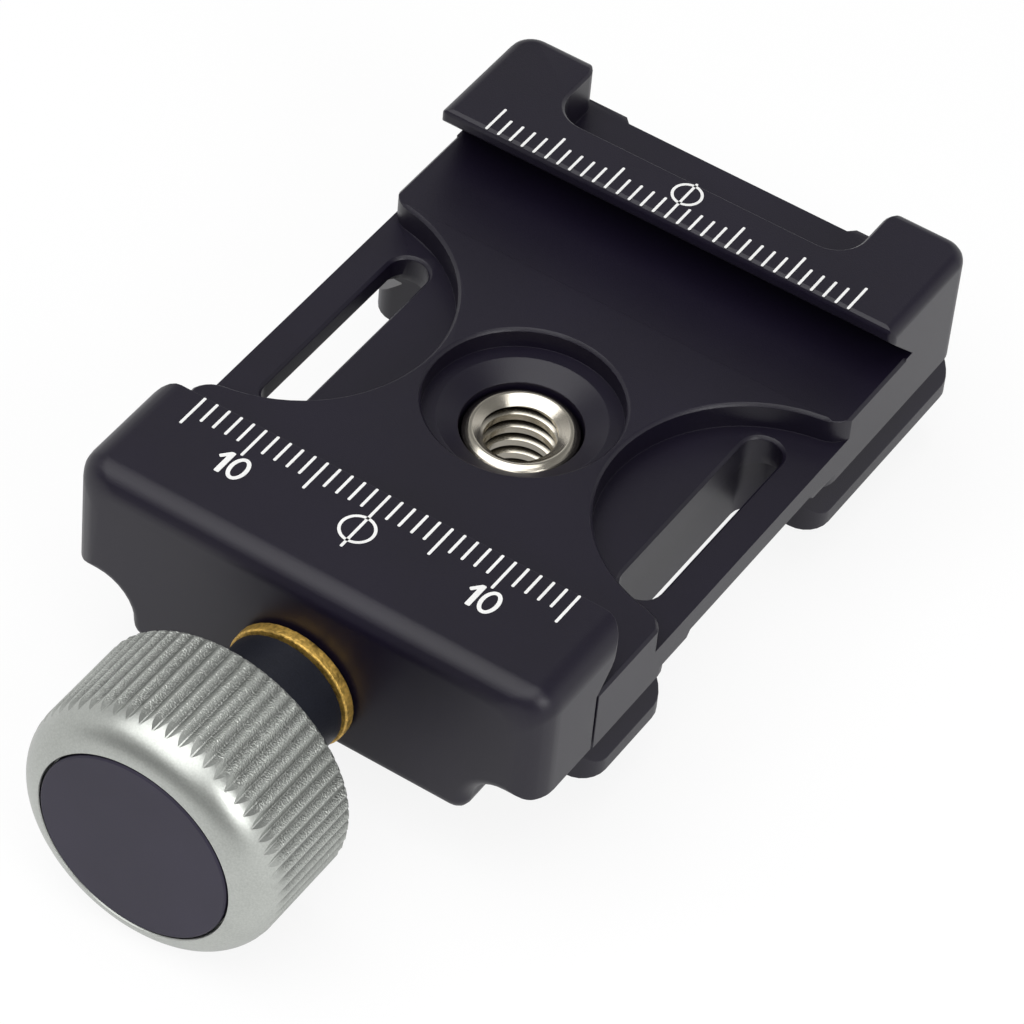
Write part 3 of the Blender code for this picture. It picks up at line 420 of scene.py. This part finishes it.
def merge_flats(bm):
    """Joins neighbours that lie flat, as long as the joined face stays convex."""
    for edge in sorted(bm.edges, key=lambda e: -e.calc_length()):
        if edge.is_valid and len(edge.link_faces) == 2:
            pair = tuple(edge.link_faces)
            flat = pair[0].normal.angle(pair[1].normal, 1.0) < FLAT_LIMIT
            one_seam = len(set(pair[0].verts) & set(pair[1].verts)) == 2
            corners = [sum(loop.calc_angle() for loop in vert.link_loops if loop.face in pair)
                       for vert in edge.verts]
            if flat and one_seam and max(corners) < STRAIGHT:
                bmesh.utils.face_join(pair)


# %% [markdown]
# Blender's bevel modifier can take its width from a weight on each edge. The weight is
# less beside a very narrow face, such as the side of a small step, because two full bevels
# would cross there and fold the surface over.

# %% Bevelling sharp edges
SHARP_ANGLE = 24
NARROW = 0.4
SHORT = 1.0


def round_edges(bm, edge, fine_edge):
    """Bevels the sharp edges. Beside a narrow face, and on short edges that run into one
    there, the bevel is the fine one. Both widths are in millimetres."""
    weight = bm.edges.layers.float.new("bevel_weight_edge")
    sharp = [e for e in bm.edges
             if e.is_manifold and e.calc_face_angle(0) > math.radians(SHARP_ANGLE)]
    for e in sharp:
        room = min(face.calc_area() for face in e.link_faces) / e.calc_length()
        e[weight] = fine_edge / edge if room < NARROW * MM else 1.0
    tight = {vert for e in sharp if e[weight] < 1.0 for vert in e.verts}
    for e in sharp:
        if e.calc_length() < SHORT * MM and tight.intersection(e.verts):
            e[weight] = fine_edge / edge
    sharp_piece = as_object("sharp_piece", bm)
    bevel = sharp_piece.modifiers.new("bevel", "BEVEL")
    bevel.limit_method = "WEIGHT"
    bevel.width = edge * MM
    bevel.segments = 2
    bevel.use_clamp_overlap = False
    return shaped(sharp_piece)


# %% [markdown]
# The finished copy also gets weighted normals: the large flat faces decide the shading, and
# the hairline bevels bend round to meet them. The print tells how much volume the bevel
# took, and whether an edge was left open or folded over.

# %% Finished copies
SAME_POINT = 0.002
FOLD_ANGLE = 140
FINE_EDGE = 0.03


def finished_copy(node, body, material, edge):
    """A deburred copy of a CAD node; edge is the bevel's width in millimetres."""
    bm = bmesh.new()
    bm.from_mesh(nodes[node].data)
    bmesh.ops.remove_doubles(bm, verts=bm.verts, dist=SAME_POINT * MM)
    bm.normal_update()
    merge_flats(bm)
    before = bm.calc_volume() / MM ** 3
    bm = round_edges(bm, edge, FINE_EDGE)
    after = bm.calc_volume() / MM ** 3
    open_edges = sum(not e.is_manifold for e in bm.edges)
    folds = sum(e.calc_face_angle(0) > math.radians(FOLD_ANGLE) for e in bm.edges)
    print(node, "volume", round(before, 2), "to", round(after, 2), "mm3,",
          open_edges, "open edges,", folds, "folds")
    piece = add_piece(node + "_finished", bm, body, material, (node,),
                      smooth=SHARP_ANGLE, in_mm=False)
    weighted = piece.modifiers.new("flat_faces_first", "WEIGHTED_NORMAL")
    weighted.keep_sharp = True
    weighted.weight = 80


# %% Body, jaw, washer, collar and cap
finished_copy("body", "base", black_anodised, 0.06)
finished_copy("sliding_jaw", "jaw", black_anodised, 0.06)
finished_copy("brass_washer", "jaw", brass, 0.03)
finished_copy("thrust_collar", "handle", black_steel, 0.03)
finished_copy("knob_cap", "handle", cap_dark, 0.03)

# %% [markdown]
# The pins, the plain washers, the retaining ring and the knob's screw are hidden or hardly
# seen. They keep the CAD's shape and only take a metal.

# %% Hidden pieces
for node, material in (("guide_pin_left", plain_steel), ("guide_pin_right", plain_steel),
                       ("backing_washer", plain_steel), ("retaining_ring", black_steel),
                       ("knob_washer", plain_steel), ("knob_screw", black_steel)):
    nodes[node].data.materials.clear()
    nodes[node].data.materials.append(material)
    print(node, "in", material.name)

# %% [markdown]
# ## Cutting tools
# Threads and flutes are cut on the real clamp, so they are cut here as well: a turned blank
# minus the path of the tool. A helper runs Blender's exact boolean on two bmeshes and
# hands back the result as a new bmesh. Both the blank and a thread's tool are an outline
# swept round an axis, once round for the blank and along a helix for the tool.


# %% Boolean helper
def cut_away(blank, tool, self_crossing=False):
    """The blank without what the tool covers, both given and returned as bmeshes."""
    target = as_object("blank", blank)
    cutter = as_object("tool", tool)
    modifier = target.modifiers.new("cut", "BOOLEAN")
    modifier.object = cutter
    modifier.operation = "DIFFERENCE"
    modifier.solver = "EXACT"
    modifier.use_self = self_crossing
    bm = shaped(target)
    bpy.data.objects.remove(cutter, do_unlink=True)
    return bm


# %% Turning helpers
WELD = 1e-4


def around(axis, centre):
    """The axis' direction, and what places a (radius, height) point beside that axis."""
    if axis == "Y":
        return Vector((0, 1, 0)), lambda r, h: (centre[0] + r, h, centre[1])
    return Vector((0, 0, 1)), lambda r, h: (centre[0] + r, centre[1], h)


def closed_loop(bm, points):
    """Vertices at the points and edges between them, as one list."""
    verts = [bm.verts.new(point) for point in points]
    return verts + [bm.edges.new((verts[i - 1], verts[i])) for i in range(len(verts))]


def turned(axis, centre, outline, steps):
    """A solid of revolution; outline is a closed loop of (radius, height) points."""
    direction, place = around(axis, centre)
    bm = bmesh.new()
    loop = closed_loop(bm, [place(r, h) for r, h in outline])
    bmesh.ops.spin(bm, geom=loop, cent=place(0, 0), axis=direction, angle=math.tau,
                   steps=steps, use_merge=True)
    bmesh.ops.remove_doubles(bm, verts=bm.verts, dist=WELD)
    bmesh.ops.recalc_face_normals(bm, faces=bm.faces)
    return bm


def helix(axis, centre, section, start, pitch, turns, steps):
    """A section of (radius, height) points swept along a screw's helix, ends closed."""
    direction, place = around(axis, centre)
    bm = bmesh.new()
    loop = closed_loop(bm, [place(r, start + h) for r, h in section])
    bmesh.ops.spin(bm, geom=loop, cent=place(0, 0), axis=direction,
                   dvec=direction * pitch / steps, angle=math.tau * turns,
                   steps=round(turns * steps), use_merge=False)
    bmesh.ops.holes_fill(bm, edges=[e for e in bm.edges if e.is_boundary], sides=0)
    bmesh.ops.recalc_face_normals(bm, faces=bm.faces)
    return bm


# %% [markdown]
# ## Threaded bush
# A steel bush sits in the platform and takes a 6.35 mm camera screw with 20 threads to the
# inch. The blank is turned with its chamfers, and a V tool of about 55 degrees runs down
# the bore, from below the bush to above it.

# %% Threaded bush
CAMERA_PITCH = 1.27
CAMERA_RADIUS = 3.175
BUSH_TOP = -7.0
BUSH_FOOT = -15.0
BUSH_RADIUS = 4.15
BORE = 2.62
bush = turned("Z", (0, CENTRE_Y), [
    (BORE, BUSH_FOOT + 0.42), (3.42, BUSH_FOOT),
    (BUSH_RADIUS - 0.12, BUSH_FOOT), (BUSH_RADIUS, BUSH_FOOT + 0.12),
    (BUSH_RADIUS, BUSH_TOP - 0.42), (BUSH_RADIUS - 0.05, BUSH_TOP - 0.34),
    (BUSH_RADIUS - 0.47, BUSH_TOP - 0.03), (BUSH_RADIUS - 0.55, BUSH_TOP),
    (3.46, BUSH_TOP), (3.38, BUSH_TOP - 0.03), (BORE, BUSH_TOP - 0.50)], steps=96)
groove = [(BORE - 0.4, -0.575), (CAMERA_RADIUS, -0.08), (CAMERA_RADIUS, 0.08),
          (BORE - 0.4, 0.575)]
thread_tool = helix("Z", (0, CENTRE_Y), groove, BUSH_FOOT - 1.0, CAMERA_PITCH, turns=8,
                    steps=60)
bush = cut_away(bush, thread_tool)
add_piece("threaded_bush_cut", bush, "base", bright_steel,
          ("threaded_bush",), smooth=28)

# %% [markdown]
# ## Clamp screw
# The screw is only seen when the jaw is open, in the gap in front of the base. It is
# turned with the groove for its retaining ring, and its rear end is threaded M5. Its ends
# and the groove are measured on the CAD's screw and ring.

# %% Clamp screw
SCREW_RADIUS = 2.5
SCREW_PITCH = 0.8
RING_PLAY = 0.25
SHANK_BORE = 1.75  # the hole for the knob's own screw
SHANK_END = -16.0
low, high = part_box("clamp_screw")
SCREW_FRONT = drawing_y(low.y)
SCREW_END = drawing_y(high.y)
ring_low, ring_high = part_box("retaining_ring")
RING_FRONT = drawing_y(ring_low.y) - RING_PLAY
RING_REAR = drawing_y(ring_high.y) + RING_PLAY
screw = turned("Y", (0, SCREW_Z), [
    (SHANK_BORE, SCREW_FRONT), (SCREW_RADIUS, SCREW_FRONT), (SCREW_RADIUS, RING_FRONT),
    (1.9, RING_FRONT), (1.9, RING_REAR), (SCREW_RADIUS, RING_REAR),
    (SCREW_RADIUS, SCREW_END - 0.5), (2.0, SCREW_END), (0.3, SCREW_END), (0.3, SHANK_END),
    (SHANK_BORE, SHANK_END)], steps=64)
screw_groove = [(SCREW_RADIUS + 0.3, -0.39), (2.06, -0.06), (2.06, 0.06),
                (SCREW_RADIUS + 0.3, 0.39)]
screw_turns = (SCREW_END - RING_REAR + 0.2) / SCREW_PITCH
screw_tool = helix("Y", (0, SCREW_Z), screw_groove, RING_REAR + 0.6, SCREW_PITCH,
                   screw_turns, steps=36)
screw = cut_away(screw, screw_tool)
add_piece("clamp_screw_cut", screw, "handle", screw_steel,
          ("clamp_screw",), smooth=28)

# %% [markdown]
# ## Knob
# The knob is an aluminium wheel with a large rounded shoulder. Its outline runs from the
# rear rim over the shoulder to the mouth that holds the cap, and back through the seats
# and bores inside. The shoulder is a row of short steps along an arc.

# %% Turn the knob
KNOB_RADIUS = 9.95
KNOB_FRONT = -28.7
KNOB_REAR = -18.2
SHOULDER = 3.0
SHOULDER_STEPS = 18
MOUTH = 7.5
MOUTH_CHAMFER = 0.06
CAP_SEAT = KNOB_FRONT + 1.2
HEAD_BORE = 3.45
HEAD_SEAT = KNOB_FRONT + 3.9
AXLE_BORE = 2.75
AXLE_END = KNOB_FRONT + 5.5
profile = [(AXLE_BORE, KNOB_REAR), (KNOB_RADIUS - 0.5, KNOB_REAR),
           (KNOB_RADIUS - 0.16, KNOB_REAR - 0.12), (KNOB_RADIUS, KNOB_REAR - 0.4)]
last = math.acos((MOUTH + MOUTH_CHAMFER - KNOB_RADIUS + SHOULDER) / SHOULDER)
for step in range(SHOULDER_STEPS + 1):
    angle = last * step / SHOULDER_STEPS
    profile.append((KNOB_RADIUS - SHOULDER * (1 - math.cos(angle)),
                    KNOB_FRONT + SHOULDER - SHOULDER * math.sin(angle)))
profile += [(MOUTH, profile[-1][1] + 0.08), (MOUTH, CAP_SEAT), (HEAD_BORE, CAP_SEAT),
            (HEAD_BORE, HEAD_SEAT), (SHANK_BORE, HEAD_SEAT), (SHANK_BORE, AXLE_END),
            (AXLE_BORE, AXLE_END)]
blank = turned("Y", (0, SCREW_Z), profile, steps=240)
print("knob outline", len(profile), "points, blank", len(blank.faces), "faces")

# %% [markdown]
# Sixty V grooves are milled along the knob's side and run out in points on the shoulder,
# which leaves the row of teeth that catches the light. One V tool is copied round the axis,
# and the boolean makes the run-outs by itself.

# %% Flute the knob
FLUTES = 60
FLUTE_DEPTH = 0.24
FLUTE_SHARE = 0.88  # of the pitch, at the knob's surface
TOOL_REACH = 1.0
TOOL_TIP = 0.05
flute_pitch = math.tau * KNOB_RADIUS / FLUTES
half = 0.5 * FLUTE_SHARE * flute_pitch * (1 + TOOL_REACH / FLUTE_DEPTH)
tool = bmesh.new()
wedge = [tool.verts.new((x, KNOB_REAR + 1.0, SCREW_Z - KNOB_RADIUS + z))
         for x, z in ((-half, -TOOL_REACH), (half, -TOOL_REACH), (TOOL_TIP, FLUTE_DEPTH),
                      (-TOOL_TIP, FLUTE_DEPTH))]
pulled = bmesh.ops.extrude_face_region(tool, geom=[tool.faces.new(wedge)])
bmesh.ops.translate(tool, vec=(0, KNOB_FRONT - KNOB_REAR - 2.0, 0),
                    verts=[v for v in pulled["geom"] if isinstance(v, bmesh.types.BMVert)])
bmesh.ops.recalc_face_normals(tool, faces=tool.faces)
single = list(tool.verts) + list(tool.edges) + list(tool.faces)
for index in range(1, FLUTES):
    copy = bmesh.ops.duplicate(tool, geom=single)
    bmesh.ops.rotate(tool, cent=(0, 0, SCREW_Z), verts=[
        v for v in copy["geom"] if isinstance(v, bmesh.types.BMVert)],
        matrix=Matrix.Rotation(math.tau * index / FLUTES, 3, "Y"))
knob = cut_away(blank, tool, self_crossing=True)
bmesh.ops.remove_doubles(knob, verts=knob.verts, dist=SAME_POINT)
add_piece("knob_fluted", knob, "handle", blasted, ("knob",), smooth=24)

# %% [markdown]
# ## Return springs
# Two springs push the jaw open when the knob is turned back. Each is a steel wire wound
# round its guide pin, with both end turns laid flat. The wire is a circle swept along a
# helix whose pitch changes, so its points are set one by one.

# %% Return springs
SPRING_RADIUS = 2.07
SPRING_TURNS = 5
TURN_POINTS = 40
WIRE = 0.24  # the wire's radius
END_CLIMB = 2.4  # how many wire radii an end turn climbs
PIN_X = 9.5


def spring_curve(name, x, start, end, lead):
    """The wire of a spring as a curve, in millimetres; both end turns climb by lead."""
    curve = bpy.data.curves.new(name, "CURVE")
    curve.dimensions = "3D"
    curve.bevel_depth = WIRE
    curve.bevel_resolution = 3
    curve.use_fill_caps = True
    path = curve.splines.new("POLY")
    path.points.add(TURN_POINTS * SPRING_TURNS)
    for i, point in enumerate(path.points):
        turns = i / TURN_POINTS
        share = min(max((turns - 1) / (SPRING_TURNS - 2), 0), 1)
        closing = min(turns, 1) + max(turns - (SPRING_TURNS - 1), 0)
        y = start + lead * closing + (end - start - 2 * lead) * share
        angle = math.tau * turns
        point.co = (x + SPRING_RADIUS * math.cos(angle), y,
                    SCREW_Z + SPRING_RADIUS * math.sin(angle), 1)
    wire = bpy.data.objects.new(name + "_curve", curve)
    bpy.context.scene.collection.objects.link(wire)
    return wire


def spring(name, x, node):
    """A spring that stands in for a CAD node and stretches between base and jaw."""
    low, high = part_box(node)
    start = drawing_y(low.y) + WIRE
    end = drawing_y(high.y) - WIRE
    lead = END_CLIMB * WIRE
    bm = shaped(spring_curve(name, x, start, end, lead))
    bmesh.ops.remove_doubles(bm, verts=bm.verts, dist=WELD)
    bmesh.ops.recalc_face_normals(bm, faces=bm.faces)
    into_frame(bm)
    piece = as_object(name, bm)
    piece.data.materials.append(spring_steel)
    piece.data.shade_smooth()
    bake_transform(piece)
    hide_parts(node)
    print(name, len(piece.data.polygons), "faces")


for side, x in (("left", -PIN_X), ("right", PIN_X)):
    spring("spring_" + side, x, "return_spring_" + side)

# %% [markdown]
# ## Scales
# Both jaws carry a millimetre scale, marked with a laser and white: short lines each
# millimetre, long lines each five, and a crossed circle at the middle. The lines lie a
# hundredth of a millimetre proud, so that they show without flicker. Each is a bar with
# rounded ends, and all the bars of one jaw are one piece.

# %% Scale helpers
MARK_HEIGHT = 0.012
SCALE_REACH = 15


def add_bar(bm, x, y_from, y_to, width):
    """A flat bar along Y with rounded corners, standing a little above Z = 0."""
    low, high = sorted((y_from, y_to))
    made = bmesh.ops.create_cube(bm, size=1.0)
    bmesh.ops.scale(bm, verts=made["verts"], vec=(width, high - low, 2 * MARK_HEIGHT))
    bmesh.ops.translate(bm, verts=made["verts"], vec=(x, (low + high) / 2, 0))
    upright = {e for v in made["verts"] for e in v.link_edges
               if abs(e.verts[0].co.z - e.verts[1].co.z) > MARK_HEIGHT}
    bmesh.ops.bevel(bm, geom=list(upright), offset=0.35 * width, segments=2, profile=0.5,
                    affect="EDGES", material=-1)


def add_ring(bm, x, y, radius, width):
    """A flat ring round a point, standing a little above Z = 0."""
    loop = closed_loop(bm, [(x + r, y, z) for r, z in (
        (radius - width, -MARK_HEIGHT), (radius, -MARK_HEIGHT),
        (radius, MARK_HEIGHT), (radius - width, MARK_HEIGHT))])
    bmesh.ops.spin(bm, geom=loop, cent=(x, y, 0), axis=(0, 0, 1), angle=math.tau,
                   steps=56, use_merge=True)


def scale_marks(name, body, edge, way, short, long_, centre, radius, cross_end, width):
    """The scale of one jaw, from its lip's edge inwards; way is the sign along Y. The
    circle lies at centre, and the middle line runs through it to cross_end."""
    bm = bmesh.new()
    for x in range(-SCALE_REACH, SCALE_REACH + 1):
        length = short if x % 5 else long_
        add_bar(bm, x, edge, edge + way * length if x else cross_end, width)
    add_ring(bm, 0, centre, radius, width * 1.05)
    bmesh.ops.remove_doubles(bm, verts=bm.verts, dist=WELD)
    bmesh.ops.recalc_face_normals(bm, faces=bm.faces)
    add_piece(name, bm, body, white_mark)


# %% Scales of both jaws
scale_marks("scale_front", "jaw", edge=-0.06, way=-1, short=2.02, long_=2.96, centre=-3.92,
            radius=1.33, cross_end=-5.88, width=0.215)
scale_marks("scale_rear", "base", edge=33.98, way=1, short=1.84, long_=2.62, centre=36.98,
            radius=1.17, cross_end=38.36, width=0.205)

# %% [markdown]
# ## Figures
# The sliding jaw's scale is numbered 10 on both sides, in bold upright figures. A 1 is a
# stem with a slanting flag, drawn as one outline and pulled up. A 0 is a ring whose outer
# and inner rims are stretched apart.

# %% Figures on the sliding jaw
FIGURE_Y = -4.16
FIGURE_TOP = 2.15 / 2
ONE_OUTLINE = [(0.20, -FIGURE_TOP), (0.20, FIGURE_TOP), (-0.12, FIGURE_TOP),
               (-0.74, FIGURE_TOP - 0.725), (-0.512, FIGURE_TOP - 0.92),
               (-0.20, FIGURE_TOP - 0.555), (-0.20, -FIGURE_TOP)]


def add_one(bm, x, y):
    """The figure 1 with rounded corners."""
    face = bm.faces.new([bm.verts.new((x + dx, y + dy, -MARK_HEIGHT)) for dx, dy in ONE_OUTLINE])
    pulled = bmesh.ops.extrude_face_region(bm, geom=[face])["geom"]
    bmesh.ops.translate(bm, vec=(0, 0, 2 * MARK_HEIGHT),
                        verts=[v for v in pulled if isinstance(v, bmesh.types.BMVert)])
    upright = [e for e in bm.edges if abs(e.verts[0].co.z - e.verts[1].co.z) > MARK_HEIGHT]
    bmesh.ops.bevel(bm, geom=upright, offset=0.08, segments=2, profile=0.5,
                    affect="EDGES", material=-1)


def add_nought(bm, x, y, rim=1.0, hole=0.6):
    """The figure 0, made as a round ring and then stretched."""
    before = set(bm.verts)
    add_ring(bm, 0, 0, rim, rim - hole)
    ring = [v for v in bm.verts if v not in before]
    between = (rim + hole) / 2
    outer = [v for v in ring if v.co.xy.length > between]
    inner = [v for v in ring if v.co.xy.length < between]
    bmesh.ops.scale(bm, verts=outer, vec=(0.70 / rim, (FIGURE_TOP + 0.03) / rim, 1))
    bmesh.ops.scale(bm, verts=inner, vec=(0.40 / hole, (FIGURE_TOP - 0.27) / hole, 1))
    bmesh.ops.translate(bm, verts=ring, vec=(x, y, 0))


for name, x in (("figures_left", -9.93), ("figures_right", 10.10)):
    bm = bmesh.new()
    add_one(bm, x - 0.58, FIGURE_Y)
    add_nought(bm, x + 0.52, FIGURE_Y)
    bmesh.ops.recalc_face_normals(bm, faces=bm.faces)
    add_piece(name, bm, "jaw", white_mark)

# %% [markdown]
# ## Floor and backdrop
# The clamp was photographed on plain white. The floor and the world are white to the
# camera. Mirrored in the metal, the world is a room that is darker overhead and in front,
# and all other light from it is weak and even. Part of the floor's white is its own, so
# that the clamp's shadow stays faint.


# %% Light path helper
def ray_kinds(tree):
    """Whether a ray comes from the camera, and whether a surface mirrored or bent it."""
    path = tree.nodes.new("ShaderNodeLightPath")
    mirrored = math_node(tree, "MAXIMUM", path.outputs["Is Glossy Ray"],
                         path.outputs["Is Transmission Ray"])
    return path.outputs["Is Camera Ray"], mirrored


# %% Floor
FLOOR_DROP = 0.0001
GLOW_SEEN = 0.88
GLOW_MIRRORED = 0.45
bm = bmesh.new()
bmesh.ops.create_grid(bm, x_segments=1, y_segments=1, size=6.0)
floor = as_object("floor", bm)
floor.location.z = -FLOOR_DROP

floor_material = bpy.data.materials.new("white_floor")
floor_material.use_nodes = True
floor.data.materials.append(floor_material)
tree = floor_material.node_tree
shader = tree.nodes["Principled BSDF"]
shader.inputs["Base Color"].default_value = (0.93, 0.93, 0.93, 1)
shader.inputs["Roughness"].default_value = 0.9
shader.inputs["Specular IOR Level"].default_value = 0.0
glow = tree.nodes.new("ShaderNodeEmission")
glow.inputs["Strength"].default_value = 1.0
blend = tree.nodes.new("ShaderNodeMixShader")
from_camera, mirrored = ray_kinds(tree)
share = math_node(tree, "MAXIMUM", math_node(tree, "MULTIPLY", mirrored, GLOW_MIRRORED),
                  math_node(tree, "MULTIPLY", from_camera, GLOW_SEEN))
tree.links.new(share, blend.inputs["Fac"])
tree.links.new(shader.outputs["BSDF"], blend.inputs[1])
tree.links.new(glow.outputs["Emission"], blend.inputs[2])
tree.links.new(blend.outputs["Shader"], tree.nodes["Material Output"].inputs["Surface"])
print("floor", round(floor.dimensions.x, 2), "m wide")

# %% World
EVEN_LIGHT = 0.20
world = bpy.data.worlds.new("white_studio")
bpy.context.scene.world = world
world.use_nodes = True
tree = world.node_tree
background = tree.nodes["Background"]
background.inputs["Color"].default_value = (1, 1, 1, 1)
from_camera, mirrored = ray_kinds(tree)
split = tree.nodes.new("ShaderNodeSeparateXYZ")
tree.links.new(tree.nodes.new("ShaderNodeTexCoord").outputs["Generated"], split.inputs["Vector"])
overhead = ranged(tree, split.outputs["Z"], 0.25, 0.80, 1.0, 0.22, "SMOOTHSTEP")
in_front = ranged(tree, split.outputs["Y"], -0.80, -0.30, 0.30, 1.0, "SMOOTHSTEP")
room = math_node(tree, "MULTIPLY", overhead, in_front)
seen = math_node(tree, "MULTIPLY", room, mirrored)
strength = math_node(tree, "MAXIMUM", from_camera,
                     math_node(tree, "MAXIMUM", seen, EVEN_LIGHT))
tree.links.new(strength, background.inputs["Strength"])
print("world", world.name, len(tree.nodes), "nodes")

# %% [markdown]
# ## Lamps
# Two soft boxes do the shaping. The larger hangs in front and above, where the rounded
# front edge of the jaw and the knob's shoulder mirror it. The other stands at the right
# and brings out the flutes.


# %% Lamps
def soft_box(name, place, target, size, power):
    data = bpy.data.lights.new(name, "AREA")
    data.shape = "SQUARE"
    data.size = size
    data.energy = power
    lamp = bpy.data.objects.new(name, data)
    bpy.context.scene.collection.objects.link(lamp)
    lamp.location = place
    lamp.visible_camera = False
    way = Vector(target) - Vector(place)
    lamp.rotation_euler = way.to_track_quat("-Z", "Y").to_euler()
    print("lamp", name, round(way.length, 2), "m away")


soft_box("box_above", (-0.075, -0.18, 0.57), (0, 0, 0.01), size=0.74, power=4.3)
soft_box("box_right", (0.46, -0.21, 0.32), (0, 0, 0.01), size=0.26, power=1.2)

# %% [markdown]
# ## Colours
# The standard view shows the colours as they are computed, so that white stays white.

# %% View settings
bpy.context.scene.view_settings.view_transform = "Standard"
print("view", bpy.context.scene.view_settings.view_transform)
